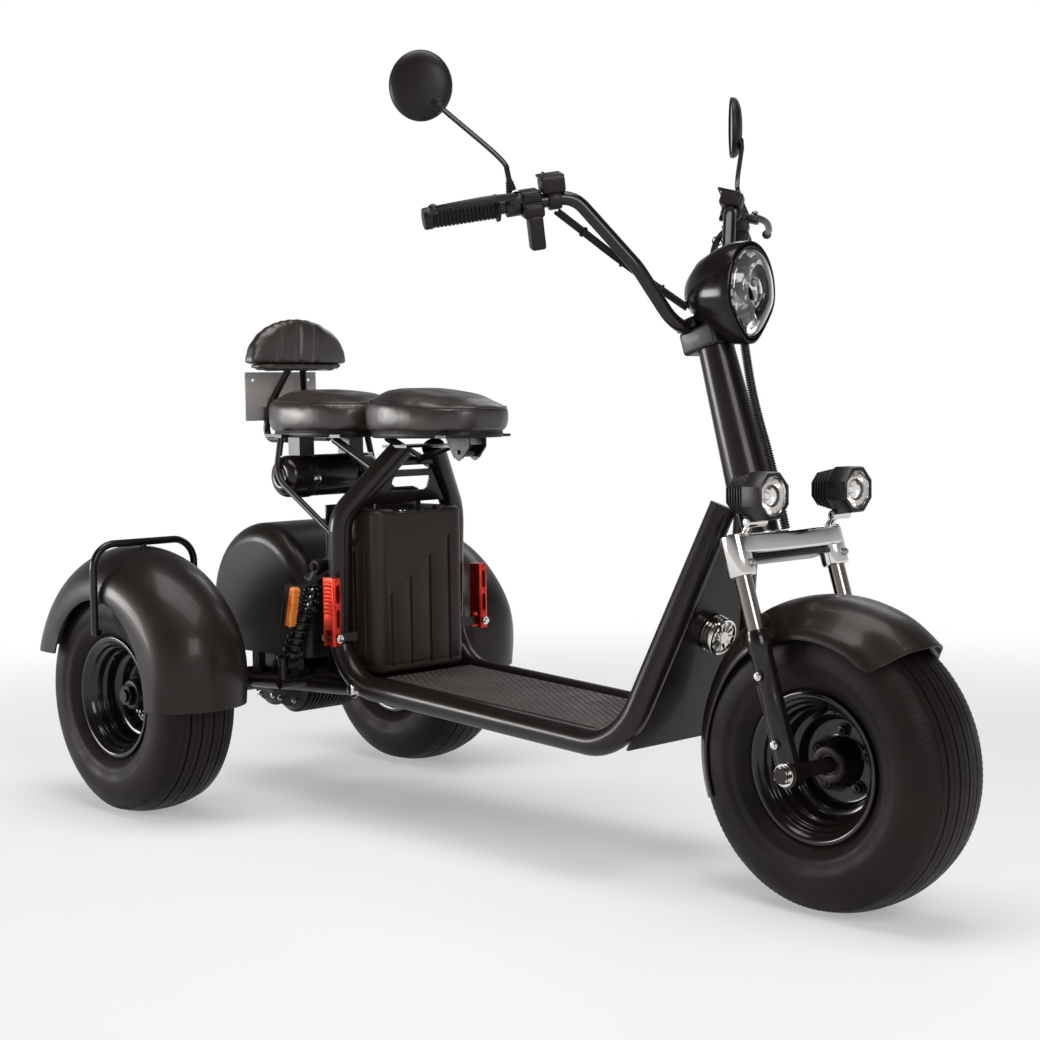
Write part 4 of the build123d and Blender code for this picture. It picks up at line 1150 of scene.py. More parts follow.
for step in range(3, 26):
    level = low.z + 0.004 + (high.z - low.z - 0.012) * step / 28
    hit, normal = surface_from(rest_pad, Vector((high.x + 0.3, -0.0085, level)), Vector((-1, 0, 0)))
    if hit and normal.x > 0.35:
        line.append(hit + normal * 0.0005)
stitches("backrest_stitches", line, "chassis")
roll_centre = Vector((rest_centre.x, 0, low.z - 0.0030))
roll = subdivided(block("backrest_roll", roll_centre, (0.044, 0.206, 0.0125)), 40)
for point in roll.data.vertices:
    offset = point.co - roll_centre
    gather = math.sin(offset.y * 260 + 2 * math.sin(offset.y * 61)) * 0.0016
    end = 1 - 0.30 * step_between(abs(offset.y), 0.070, 0.103)
    point.co.x = rest_centre.x + offset.x * end * (1 + gather * 14)
    if offset.z < 0:
        point.co.z += gather + 0.005 * step_between(abs(offset.y), 0.074, 0.103)
add_modifier(tidy(roll), "REMESH", mode="VOXEL", voxel_size=0.0028)
add_modifier(roll, "SMOOTH", factor=0.5, iterations=4)
only(roll)
bpy.ops.object.shade_smooth()
dress(roll, "chassis", "seat_cover", leather)
print("backrest faces:", len(rest_pad.data.polygons), "roll:", len(roll.data.polygons))


# %% [markdown]
# ## Floor and battery
# The floor is a steel board with a studded rubber mat glued on. The mat's raised lozenges are real shape: one
# small stud is modelled and repeated, every second row shifted by half a step, and all of them are one mesh.

# %% Floor mat
floor_mount = next(mount for mount in frame["record"]["mounts"] if mount["name"] == "floor_top")
mat_point, mat_up = Vector(floor_mount["pos_m"]), Vector(floor_mount["axis"])
mat_along = across.cross(mat_up)
mat_half_length, mat_half_width = 0.276, 0.106
mat_turn = (0, math.atan2(mat_up.x, mat_up.z), 0)
battery_low, battery_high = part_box("battery")
mat_centre = mat_point + mat_along * (battery_high.x + 0.012 + mat_half_length - mat_point.x)


def on_mat(forward, side, up=0.0):
    """A point on the mat, from its middle."""
    return mat_centre + mat_along * forward + across * side + mat_up * up


mat_size = (2 * mat_half_length, 2 * mat_half_width, 0.0024)
mat_sheet = rounded(block("floor_mat", on_mat(0, 0, 0.0006), mat_size, mat_turn), 0.001, 2)
stud_foot, stud_top = on_mat(-mat_half_length, 0, 0.0016), on_mat(-mat_half_length, 0, 0.0032)
stud = barrel("stud", stud_foot, stud_top, 0.0042, 0.0030, sides=4)
rows, columns = 46, 15
studs = []
for row in range(rows):
    for column in range(columns - row % 2):
        side = (column - (columns - 1 - row % 2) / 2) * 0.0138
        forward = 0.010 + row * (2 * mat_half_length - 0.020) / (rows - 1)
        one = stud.copy()
        one.data = stud.data.copy()
        one.data.transform(Matrix.Translation(mat_along * forward + across * side))
        bpy.context.collection.objects.link(one)
        studs.append(one)
bpy.data.objects.remove(stud)
floor_mat = joined("floor_mat", [mat_sheet, *studs])
dress(floor_mat, "chassis", "grip_rubber", mat_finish)
print("studs on the mat:", len(studs))

# %% [markdown]
# The battery is a moulded case that lifts out by its handle. The case is one block with round upright
# corners; its top is sunk in the middle, so that the handle lies low between two shoulders, and four grooves
# run down its front and stop at different heights. Grooves and sinks are cut with booleans, as the mould's
# steel would form them, and then every new edge is rounded.

# %% Battery case
case_top = battery_high.z - 0.038
case_centre = Vector(((battery_low.x + battery_high.x) / 2, 0, (battery_low.z + case_top) / 2))
case_size = Vector((battery_high.x - battery_low.x, battery_high.y - battery_low.y, case_top - battery_low.z))


def upright_slot(name, centre, width, height, depth):
    """A slot with round ends, for cutting into a face that looks forward."""
    slot = block(name, centre, (depth, width, height - width))
    half, end_up = depth / 2, (height - width) / 2
    for up in (-end_up, end_up):
        back, front = centre + Vector((-half, 0, up)), centre + Vector((half, 0, up))
        end = barrel(name + "_end", back, front, width / 2, sides=24)
        add_modifier(slot, "BOOLEAN", operation="UNION", object=end, solver="EXACT")
        bpy.data.objects.remove(end)
    return slot


case = block("battery_case", case_centre, case_size)
bevel_edges(case, 0.024, 10, lambda a, b: abs(a.z - b.z) > 0.1)
bevel_edges(case, 0.012, 6, lambda a, b: abs(a.z - b.z) < 0.0001 and a.z > case_top - 0.001)
bevel_edges(case, 0.006, 3, lambda a, b: abs(a.z - b.z) < 0.0001 and a.z < battery_low.z + 0.001)
well = block("well", (case_centre.x, 0, case_top + 0.006), (case_size.x * 0.80, 0.150, 0.044))
cut_away(case, rounded(well, 0.010, 4))
notch = block("notch", (battery_high.x, 0, case_top + 0.010), (0.060, 0.134, 0.034))
cut_away(case, rounded(notch, 0.006, 3))
groove_front = battery_high.x
for side, share in ((-0.078, 0.42), (-0.030, 0.52), (0.018, 0.64), (0.066, 0.76)):
    height = share * case_size.z
    foot = battery_low.z + 0.020
    groove = upright_slot("groove", Vector((groove_front, side, foot + height / 2)), 0.0065, height, 0.0060)
    cut_away(case, groove)
    stop_up = foot - 0.004
    stop_back, stop_front = (groove_front - 0.0045, side, stop_up), (groove_front + 0.01, side, stop_up)
    cut_away(case, barrel("stop", stop_back, stop_front, 0.0045))
for side in (-1, 1):
    for forward in (-0.034, 0.0, 0.034):
        flute = block("flute", (case_centre.x + forward, side * battery_high.y, case_centre.z - 0.02),
                      (0.010, 0.005, case_size.z * 0.62))
        cut_away(case, rounded(flute, 0.0015, 2))
seam_centre = Vector((case_centre.x, 0, battery_low.z + 0.016))
seam = block("seam", seam_centre, (case_size.x + 0.01, case_size.y + 0.01, 0.0014))
core = block("core", seam_centre, (case_size.x - 0.004, case_size.y - 0.004, 0.01))
cut_away(seam, core)
cut_away(case, seam)
smooth(beveled(case, 0.0009, 2, 42), 40)
dress(case, "chassis", "battery_plastic", battery_plastic, "battery")
print("battery case:", [round(value, 3) for value in case_size], "faces:", len(case.data.polygons))

# %% [markdown]
# The handle is a round bar with a ribbed sleeve between two bent posts. Beside it sit the charging socket's
# cap and the lock.

# %% Battery handle and sockets
handle_z = battery_high.z - 0.008
handle_x = case_centre.x
well_floor = case_top - 0.016
posts = []
for side in (-1, 1):
    route = [Vector((handle_x, side * 0.050, well_floor)), Vector((handle_x, side * 0.050, handle_z - 0.012)),
             Vector((handle_x, side * 0.049, handle_z)), Vector((handle_x, side * 0.036, handle_z))]
    posts.append(pipe("post", route, 0.0066, sides=16))
    foot = block("foot", (handle_x, side * 0.050, well_floor + 0.004), (0.026, 0.022, 0.008))
    posts.append(rounded(foot, 0.003, 2))
dress(joined("battery_handle_posts", posts), "chassis", "black_plastic", black_plastic)
sleeve = [(-0.042, 0.0066)] + ridges(12, -0.041, 0.0068, 0.0066, 0.0079, 0.0008, 0.0050, 0.0058)
sleeve += [(0.042, 0.0066), (0.042, 0.001), (-0.042, 0.001), (-0.042, 0.0066)]
grip_bar = spun("battery_handle_grip", sleeve, (handle_x, 0, handle_z), steps=24, sharp=30)
dress(grip_bar, "chassis", "grip_rubber", soft_rubber)
socket_centre = Vector((handle_x - 0.034, -0.036, well_floor))
socket_section = [(0, 0.013), (0.004, 0.013), (0.005, 0.012), (0.005, 0.009), (0.002, 0.008), (0.002, 0),
                  (0, 0), (0, 0.013)]
socket_cap = spun("battery_socket", socket_section, socket_centre, (0, 0, 1), (1, 0, 0), 32, 30)
dress(socket_cap, "chassis", "black_plastic", gloss_plastic)
lock_section = [(0, 0.010), (0.005, 0.010), (0.006, 0.009), (0.006, 0.006), (0.004, 0.005), (0.004, 0),
                (0, 0), (0, 0.010)]
lock = spun("battery_lock", lock_section, socket_centre + across * 0.072, (0, 0, 1), (1, 0, 0), 32, 30)
dress(lock, "chassis", "chrome", chrome)
print("room for fingers under the handle:", round(handle_z - 0.0079 - well_floor, 3))

# %% [markdown]
# ## Rear end
# The drive unit is a finned motor drum beside a differential, both on the axle beam. Fins are the reason for
# a lathe: each is a thin step in the section. The covers' bolts are one bolt, copied around each drum.

# %% Drive motor and differential
motor_centre = Vector((right_hub.x + 0.102, 0, right_hub.z + 0.006))
motor_radius, motor_half = 0.068, 0.075


def finned_drum(name, centre, radius, half, fins, boss):
    """A drum with fins around it and a stepped cover on each end."""
    profile = [(-half, boss), (-half, radius - 0.014), (-half + 0.004, radius - 0.010),
               (-half + 0.010, radius - 0.006)]
    run = 2 * (half - 0.014) / fins
    profile += ridges(fins, -half + 0.014, run, radius - 0.007, radius, run * 0.22, run * 0.50, run * 0.72)
    profile += [(half - 0.010, radius - 0.006), (half - 0.004, radius - 0.010), (half, radius - 0.014),
                (half, boss)]
    return spun(name, profile + [(half, 0.001), (-half, 0.001), (-half, boss)], centre, sharp=30)


axle_middle = Vector((right_hub.x, 0, right_hub.z))
motor = finned_drum("drive_motor_drum", motor_centre, motor_radius, motor_half, 12, 0.020)
case_rings = finned_drum("differential", axle_middle, 0.062, 0.052, 5, 0.026)
cover_bolts = []
for side in (-1, 1):
    for hub, radius, half in ((motor_centre, 0.047, motor_half), (axle_middle, 0.044, 0.052)):
        bolt = hex_bolt("cover_bolt", hub + Vector((0, side * half, radius)), (0, side, 0), 0.008, 0.004)
        cover_bolts.append(around(bolt, "cover_bolts", 6, across, hub, 30))
gearbox_centre = Vector(((motor_centre.x + right_hub.x) / 2, -0.030, right_hub.z + 0.012))
gearbox = rounded(block("gearbox", gearbox_centre, (0.120, 0.056, 0.104)), 0.016, 4)
dress(joined("drive_motor_finned", [motor, case_rings, gearbox]), "chassis", "dark_metal", dark_cast,
      "drive_motor")
dress(joined("drive_motor_bolts", cover_bolts), "chassis", "bare_steel", steel)
print("motor drum:", round(motor_radius * 2, 3), "across")

# %% [markdown]
# A shock absorber's coil is a wire along a helix. The helix is drawn as a chain of points and turned into a
# round wire. The coil sits around the damper, between two cups.

# %% Shock absorbers
def coil(name, foot, head, radius, wire_radius, turns, per_turn=20):
    """A coil spring between two points."""
    axis = (head - foot).normalized()
    side = axis.orthogonal().normalized()
    up = axis.cross(side)
    total = int(turns * per_turn)
    points = []
    for index in range(total + 1):
        angle = 2 * math.pi * index / per_turn
        part = index / total
        eased = part - 0.018 * math.sin(2 * math.pi * part)
        points.append(foot + (head - foot) * eased + (side * math.cos(angle) + up * math.sin(angle)) * radius)
    return pipe(name, points, wire_radius, sides=8, bends=False)


shock_low, shock_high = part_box("shock_absorbers")
shock_eye, shock_side = 0.013, 0.150
for side, label in ((-1, "right"), (1, "left")):
    foot = Vector((shock_low.x + shock_eye, side * shock_side, shock_low.z + shock_eye))
    head = Vector((shock_high.x - shock_eye, side * shock_side, shock_high.z - shock_eye))
    run = (head - foot).normalized()
    total = (head - foot).length
    turning = (foot, run, run.cross(across), 32)
    damper = [(0.010, 0.001), (0.012, 0.009), (0.020, 0.0105), (0.024, 0.020), (0.029, 0.020),
              (0.031, 0.0135), (0.110, 0.0135), (0.112, 0.012), (0.118, 0.0105), (0.118, 0.001),
              (0.010, 0.001)]
    top_cup = [(total - 0.034, 0.001), (total - 0.034, 0.016), (total - 0.030, 0.0205),
               (total - 0.026, 0.0205), (total - 0.022, 0.012), (total - 0.012, 0.010),
               (total - 0.010, 0.001), (total - 0.034, 0.001)]
    rod = [(0.116, 0.001), (0.116, 0.0062), (total - 0.030, 0.0062), (total - 0.030, 0.001), (0.116, 0.001)]
    parts = [spun("damper", damper, *turning), spun("top_cup", top_cup, *turning)]
    for eye in (foot, head):
        parts.append(spun("eye", collar(0.011, 0.0075, 0.012, 0.010, 0.013), eye, steps=32))
    node = ["shock_absorbers"] if side < 0 else []
    dress(joined(f"shock_absorber_{label}", parts), "chassis", "dark_metal", black_cast, *node)
    dress(spun(f"shock_rod_{label}", rod, *turning), "chassis", "bare_steel", chrome)
    wire_start, wire_end = foot + run * 0.031, foot + run * (total - 0.036)
    spring = coil(f"shock_spring_{label}", wire_start, wire_end, 0.0172, 0.0030, 8.5)
    dress(spring, "chassis", "dark_metal", bar_black)
print("shock absorber length:", round(total, 3))

# %% [markdown]
# The canister behind the seats is a drum with domed ends, held by two strap bands with a bolt each.

# %% Canister
can_centre = middle("canister")
can_half, can_radius, end_radius = extent("canister").y / 2, extent("canister").x / 2, 0.020
turns = [math.radians(angle) for angle in range(0, 91, 10)]
can_profile = [(can_half - end_radius + end_radius * math.sin(turn),
                can_radius - end_radius + end_radius * math.cos(turn)) for turn in turns]
can_profile += [(can_half - 0.002, can_radius - end_radius - 0.006),
                (can_half - 0.006, can_radius - end_radius - 0.012), (can_half - 0.006, 0.001)]
can_profile = can_profile + [(-along, out) for along, out in can_profile[::-1]]
canister = spun("canister_drum", can_profile + [can_profile[0]], can_centre)
dress(canister, "chassis", "dark_metal", bar_black, "canister")
band = collar(0.011, can_radius - 0.001, can_radius + 0.0014, 0.009, can_radius + 0.0020)
strap_side = 0.062
straps, strap_bolts = [], []
for side in (-1, 1):
    at = can_centre + across * side * strap_side
    straps.append(spun("strap", band, at))
    buckle = block("buckle", at + Vector((can_radius + 0.004, 0, -0.004)), (0.010, 0.018, 0.022))
    straps.append(rounded(buckle, 0.002, 2))
    bolt_foot = at + Vector((can_radius + 0.009, 0, -0.004))
    strap_bolts.append(hex_bolt("strap_bolt", bolt_foot, (1, 0, 0), 0.010, 0.006))
dress(joined("canister_straps", straps), "chassis", "dark_metal", black_cast)
dress(joined("canister_bolts", strap_bolts), "chassis", "bare_steel", chrome)
print("canister:", round(can_half * 2, 3), "long")

# %% [markdown]
# The turn signals hang under the seats on short stalks: a black back shell and an amber lens with upright
# ribs.

# %% Turn signals
signal_low, signal_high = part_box("turn_signals")
signal_lean = Vector((18, 0, 78)).normalized()
lean_turn = (0, math.atan2(signal_lean.x, signal_lean.z), 0)
for side, label in ((-1, "right"), (1, "left")):
    centre = Vector((signal_low.x + 0.024, side * (signal_high.y - 0.009), signal_low.z + 0.0425))
    forward = Vector((signal_lean.z, 0, -signal_lean.x))
    shell = rounded(block("shell", centre - forward * 0.0085, (0.014, 0.0180, 0.080), lean_turn), 0.004, 4)
    stalk = pipe("stalk", [centre + signal_lean * 0.022 - forward * 0.008,
                           centre + signal_lean * 0.030 - forward * 0.002 - across * side * 0.004,
                           Vector((right_hub.x + 0.330, side * 0.172, 0.452)),
                           Vector((right_hub.x + 0.348, side * 0.150, 0.470))], 0.0048, sides=12)
    boot_foot = centre + signal_lean * 0.024 - forward * 0.004
    boot_top = centre + signal_lean * 0.036 + forward * 0.006 - across * side * 0.006
    boot = rounded(barrel("boot", boot_foot, boot_top, 0.008, 0.006), 0.001)
    node = ["turn_signals"] if side < 0 else []
    back = joined(f"turn_signal_{label}_back", [shell, stalk, boot])
    dress(back, "chassis", "black_plastic", black_plastic, *node)
    lens = rounded(block("lens", centre + forward * 0.0065, (0.016, 0.0170, 0.077), lean_turn), 0.0040, 4)
    ribs = []
    for index in range(9):
        at = centre + signal_lean * (-0.032 + index * 0.008) + forward * 0.0145
        ribs.append(rounded(block("rib", at, (0.0016, 0.0140, 0.0040), lean_turn), 0.0007, 1))
    dress(joined(f"turn_signal_{label}_lens", [lens, *ribs]), "chassis", "orange_lens", amber)
print("turn signals: 2")

# %% [markdown]
# A folding foot peg is an anodised bar with two windows milled through it. The windows have round ends, and
# the upright edges are well rounded; grip grooves cross the tread side.

# %% Foot pegs
for label, side in (("right", -1), ("left", 1)):
    node = f"footpeg_{label}"
    low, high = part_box(node)
    centre, size = (low + high) / 2, high - low
    peg = block(f"{node}_bar", centre, size)
    bevel_edges(peg, 0.0045, 4, lambda a, b: abs(a.z - b.z) > 0.05)
    for height in (0.050, 0.096):
        window = upright_slot("window", Vector((centre.x, centre.y, low.z + height)), 0.0085, 0.034, 0.08)
        cut_away(peg, window)
    pin_up = low.z + 0.014
    cut_away(peg, block("slot", (centre.x, centre.y, pin_up), (0.0162, 0.06, 0.032)))
    bore_back, bore_front = (centre.x - 0.04, centre.y, pin_up), (centre.x + 0.04, centre.y, pin_up)
    cut_away(peg, barrel("bore", bore_back, bore_front, 0.0054))
    for index in range(9):
        tooth = block("tooth", (centre.x, centre.y + side * size.y / 2, high.z - 0.010 - index * 0.0072),
                      (size.x * 0.70, 0.0022, 0.0026))
        cut_away(peg, tooth)
    dress(smooth(beveled(peg, 0.0006, 2, 40)), f"peg_{label}", "red_metal", red_anodised, node)
    pin_ends = []
    for way in (-1, 1):
        end = (centre.x + way * (size.x / 2 + 0.0042), centre.y, pin_up)
        pin_ends.append(hex_bolt("peg_pin", end, (way, 0, 0), 0.010, 0.005))
    dress(joined(f"{node}_pin_ends", pin_ends), "chassis", "bare_steel", chrome)
print("peg size:", [round(value, 3) for value in size])

# %% [markdown]
# The horn is a chromed drum with fins around it and a grille of spokes on its face.

# %% Horn
leg_front = Vector((0.39, 0, -0.125)).normalized()
horn_radius = extent("horn").y / 2
face = middle("horn") + leg_front * 0.013
horn_profile = [(-0.026, 0.001), (-0.026, 0.024)]
horn_profile += ridges(3, -0.025, 0.0062, 0.024, horn_radius, 0.0012, 0.0030, 0.0042)
horn_profile += [(-0.005, 0.026), (-0.004, horn_radius), (-0.001, horn_radius - 0.001),
                 (0.0, horn_radius - 0.004), (-0.003, horn_radius - 0.007), (-0.004, 0.012), (0.0, 0.010),
                 (0.0, 0.001), (-0.026, 0.001)]
horn_up = leg_front.cross(across)
horn = spun("horn_drum", horn_profile, face, leg_front, horn_up, 56, 35)
bar = block("spoke", face + horn_up * 0.017 - leg_front * 0.002, (0.003, 0.003, 0.016),
            leg_front.to_track_quat("X", "Z").to_euler())
grille = around(rounded(bar, 0.0008, 1), "spokes", 12, leg_front, face)
dress(joined("horn_finned", [horn, grille]), "chassis", "chrome", chrome, "horn")
print("horn radius:", round(horn_radius, 3))


# %% [markdown]
# ## Steering
# The fork's bridge is a chromed casting: a bar across the two legs, round at its ends, with a cap over each
# leg. A plate with an outline drawn point by point and extruded gives the bar; the caps are turned.

# %% Fork crown
crown_turn = (0, -math.radians(17), 0)


def steered_plate(name, outline_points, bottom, top):
    """A plate across the steering axis, its outline in (ahead, side) points, extruded from bottom to top."""
    piece = outline(name, [steered(ahead, bottom, side) for ahead, side in outline_points], closed=True)
    return extruded(piece, steer_axis * (top - bottom))


half_outline = [(-0.034, 0.0), (-0.034, 0.034), (-0.024, 0.046), (0.012, 0.110)]
half_outline += [(fork_ahead + 0.0215 * math.cos(math.radians(a)) * 1.05,
                  leg_half - 0.002 + 0.022 * math.sin(math.radians(a)))
                 for a in range(170, -1, -17)]
half_outline += [(0.060, 0.090), (0.056, 0.040), (0.056, 0.0)]
full_outline = half_outline + [(ahead, -side) for ahead, side in half_outline[::-1][1:-1]]
bridge = steered_plate("bridge", full_outline, -0.016, 0.016)
smooth(beveled(bridge, 0.0055, 4, 50), 40)
cap_profile = [(-0.046, 0.0155), (-0.046, 0.0205), (-0.042, 0.0218), (0.010, 0.0218), (0.0165, 0.0205),
               (0.0185, 0.0150), (0.0185, 0.0105), (0.0165, 0.0095), (0.0165, 0.001), (-0.040, 0.001),
               (-0.046, 0.0155)]
caps, pinch = [], []
for side in (-1, 1):
    cap_centre = steered(fork_ahead, 0, side * leg_half)
    caps.append(spun("cap", cap_profile, cap_centre, steer_axis, ahead_of_column, 40))
    clamp_face = steered(fork_ahead + 0.0215, -0.030, side * leg_half)
    pinch.append(hex_bolt("pinch", clamp_face, ahead_of_column, 0.009, 0.006))
crown = dress(joined("fork_bridge", [bridge, *caps]), "steering", "chrome", chrome, "fork_crown")
top_nut = hex_bolt("stem_nut", steered(0, 0.0155), steer_axis, 0.034, 0.006, 1.1)
under_bar = steered_plate("under_bar", [(0.004, -0.104), (0.004, 0.104), (0.050, 0.104), (0.050, -0.104)],
                          -0.026, -0.0165)
dress(rounded(under_bar, 0.002, 2), "steering", "frame_paint", frame_black)
dress(joined("fork_bridge_bolts", [*pinch, top_nut]), "steering", "bare_steel", steel)
print("fork bridge:", [round(value, 3) for value in crown.dimensions])

# %% [markdown]
# Each fork leg is a chrome tube whose colour is darkened, a painted dark reflection, and it slides into a
# black casting. The casting has a dust seal on top, a brace rib behind it, two lugs with bolts, and a foot
# around the axle.

# %% Fork legs
slider_top_up = -0.136
for side, label in ((-1, "right"), (1, "left")):
    top, seal, foot = (steered(fork_ahead, up, side * leg_half) for up in (-0.021, slider_top_up, axle_up))
    tube_piece = smooth(barrel(f"fork_tube_{label}", top, seal - steer_axis * 0.006, 0.0135, sides=40), 40)
    node = ["fork_legs"] if side < 0 else []
    dress(tube_piece, "steering", "chrome", dark_reflection_chrome, *node)
    length = (seal - foot).length
    slider_profile = [(0.0, 0.001), (0.0, 0.0145), (0.004, 0.0170), (length * 0.55, 0.0170),
                      (length - 0.030, 0.0170), (length - 0.026, 0.0190), (length - 0.006, 0.0190),
                      (length - 0.002, 0.0175), (length + 0.006, 0.0160), (length + 0.0065, 0.0145),
                      (length + 0.002, 0.0138), (length, 0.001), (0.0, 0.001)]
    slider = spun("slider", slider_profile, foot, steer_axis, ahead_of_column, 40)
    boss = spun("foot", collar(0.0150, 0.0085, 0.0190, 0.0130, 0.0210), foot, steps=40)
    rib_centre = foot + steer_axis * 0.075 + ahead_of_column * -0.0175
    rib = block("rib", rib_centre, (0.010, 0.011, 0.130), crown_turn)
    parts, bolts = [slider, boss, rounded(rib, 0.004, 3)], []
    for up in (0.046, 0.150):
        at = foot + steer_axis * up
        lug_face = at + across * side * 0.0215
        parts.append(rounded(barrel("lug", at - across * side * 0.010, lug_face, 0.0080), 0.0015))
        bolts.append(hex_bolt("lug_bolt", lug_face, across * side, 0.008, 0.0045))
    dress(joined(f"fork_slider_{label}", parts), "steering", "frame_paint", bar_black)
    axle_nut = hex_bolt("axle_nut", foot + across * side * 0.0152, across * side, 0.0245, 0.0095, 1.25)
    dress(joined(f"fork_bolts_{label}", [*bolts, axle_nut]), "steering", "bare_steel", chrome)
print("fork leg length:", round(-axle_up, 3))

# %% [markdown]
# The head tube has a headset ring at each end and a band clamp with a square buckle around it.

# %% Headset and band
head_foot_up, head_top_up = 0.023, 0.097
ring_height = 0.0054
ring_profile = [(0.0, 0.016), (0.0, 0.0300), (0.0012, 0.0315), (0.0042, 0.0315), (ring_height, 0.0285),
                (ring_height, 0.016), (0.0, 0.016)]
rings = []
for start in (head_foot_up - ring_height, head_top_up):
    rings.append(spun("ring", ring_profile, steered(0, start), steer_axis, ahead_of_column, 48))
dress(joined("headset_rings", rings), "chassis", "chrome", steel)
band_up = (head_foot_up + head_top_up) / 2 + 0.008
band = flat_band(0.008, 0.0288, 0.0304)
strap = spun("band", band, steered(0, band_up), steer_axis, ahead_of_column, 48)
buckle_centre = steered(0.004, band_up, -0.0335)
buckle = rounded(block("buckle", buckle_centre, (0.020, 0.007, 0.022), crown_turn), 0.002, 2)
screw = hex_bolt("band_screw", buckle_centre + across * -0.0035, -across, 0.008, 0.004)
dress(joined("head_tube_band", [strap, buckle, screw]), "chassis", "chrome", chrome)

# %% [markdown]
# The handlebar is clamped between a block on the column and two caps. Four bolts hold the caps.

# %% Handlebar clamp
column_top_up = 0.329
bar_up = 0.370
clamp_parts, clamp_bolts = [], []
foot_outline = [(-0.046, -0.030), (-0.046, 0.030), (0.026, 0.030), (0.026, -0.030)]
foot_block = steered_plate("clamp_foot", foot_outline, column_top_up + 0.0005, bar_up - 0.002)
clamp_parts.append(rounded(foot_block, 0.006, 4))
for side in (-1, 1):
    near, far = side * 0.018 - 0.011, side * 0.018 + 0.011
    cap_outline = [(-0.050, near), (-0.050, far), (-0.008, far), (-0.008, near)]
    cap = steered_plate("clamp_cap", cap_outline, bar_up - 0.001, bar_up + 0.0175)
    clamp_parts.append(rounded(cap, 0.005, 4))
    for ahead in (-0.0445, -0.0135):
        top = steered(ahead, bar_up + 0.0165, side * 0.018)
        clamp_bolts.append(hex_bolt("clamp_bolt", top, steer_axis, 0.007, 0.005))
dress(joined("handlebar_clamp_block", clamp_parts), "steering", "frame_paint", black_cast, "handlebar_clamp")
dress(joined("handlebar_clamp_bolts", clamp_bolts), "steering", "bare_steel", chrome)

# %% [markdown]
# ## Controls
# Everything on the two ends of the bar is placed by one rule: how far along the straight end it sits, how far
# in front of it, and how far above. The left side is built, and the right side is its mirror image.

# %% A rule for places on the bar
bar_bend = steered(-0.052, 0.596, 0.190)
bar_end = steered(-0.190, 0.601, 0.385)
bar_run = (bar_end - bar_bend).normalized()
bar_length = (bar_end - bar_bend).length
bar_front = bar_run.cross(steer_axis).normalized()
if bar_front.x < 0:
    bar_front.negate()
bar_above = bar_front.cross(bar_run).normalized()
if bar_above.z < 0:
    bar_above.negate()
grip_length = 0.118
grip_run = bar_length - grip_length
perch_run = grip_run - 0.022
switch_run = perch_run - 0.029
reservoir_run = switch_run - 0.038


def on_bar(run, front=0.0, up=0.0):
    """A point along the left end of the bar, ahead of it and above it."""
    return bar_bend + bar_run * run + bar_front * front + bar_above * up


def bar_block(name, run, length, front, up, depth, height, corner=0.004, segments=3):
    """A rounded block whose length lies along the bar."""
    turn = Matrix((bar_run, bar_front, bar_above)).transposed().to_euler()
    return rounded(block(name, on_bar(run, front, up), (length, depth, height), turn), corner, segments)


def both_ends(name, pieces, slot, material, *nodes):
    """Join the left side's parts, dress them, and make the right side's twin."""
    left = joined(f"{name}_left", pieces)
    right = mirrored(left, f"{name}_right")
    dress(left, "steering", slot, material, *nodes)
    return dress(right, "steering", slot, material)


# %% [markdown]
# A grip is a rubber sleeve with rings moulded along it, a flange at the inner end and a harder cap outside.

# %% Grips
def on_grip(name, section, sharp=30):
    """A turned part around the bar's end, its section measured from the grip's inner end."""
    return spun(name, section, on_bar(grip_run), bar_run, bar_above, 40, sharp)


grip_section = [(0.0, 0.0112), (0.0, 0.0205), (0.0015, 0.0215), (0.0050, 0.0215), (0.0065, 0.0168)]
grip_section += ridges(15, 0.009, 0.0062, 0.0150, 0.0165, 0.0009, 0.0042, 0.0050)
grip_section += [(0.1045, 0.0165), (0.1060, 0.0150), (0.1060, 0.0112), (0.0, 0.0112)]
grip = on_grip("grip", grip_section)
both_ends("grip_ribbed", [grip], "grip_rubber", soft_rubber, "grips")
end_cap = [(0.1062, 0.0112), (0.1062, 0.0168), (0.1075, 0.0172), (0.1165, 0.0172), (0.1195, 0.0160),
           (0.1205, 0.0120), (0.1205, 0.001), (0.1062, 0.001), (0.1062, 0.0112)]
both_ends("grip_end", [on_grip("end", end_cap)], "bare_steel", dark_cast)
print("grip rings: 15")

# %% [markdown]
# A brake lever is a forged blade that curves to a ball, on a pivot bolt in a clamped perch. The blade is a
# tube along a line of points, a little taller at the pivot and pressed flatter towards the ball.

# %% Brake levers
blade_line = [(-0.004, 0.036, 0.0), (0.020, 0.047, -0.001), (0.050, 0.053, -0.002), (0.085, 0.0535, -0.003),
              (0.120, 0.050, -0.003), (grip_length + 0.008, 0.0465, -0.002)]
blade_points = [on_bar(perch_run + run, front, up) for run, front, up in blade_line]
blade = pipe("blade", blade_points, 0.0060, sides=16)
for point in blade.data.vertices:
    part = (point.co - blade_points[0]).dot(bar_run) / (grip_length + 0.012)
    above_line = (point.co - bar_bend).dot(bar_above) + 0.0022
    point.co += bar_above * above_line * (0.35 * (1 - part) - 0.22)
ball_centre = on_bar(bar_length - 0.010, 0.046, -0.002)
ball = spun("ball", ball_section(0.0085, 15), ball_centre, bar_run, bar_above, 24, 60)
perch = collar(0.0110, 0.0112, 0.0165, 0.0095, 0.0172)
perch_ring = spun("perch", perch, on_bar(perch_run), bar_run, bar_above, 40)
arm = bar_block("arm", perch_run - 0.001, 0.020, 0.028, 0.0, 0.030, 0.014, 0.004)
stud_foot = bar_block("mirror_foot", perch_run, 0.020, 0.017, 0.008, 0.020, 0.014, 0.004)
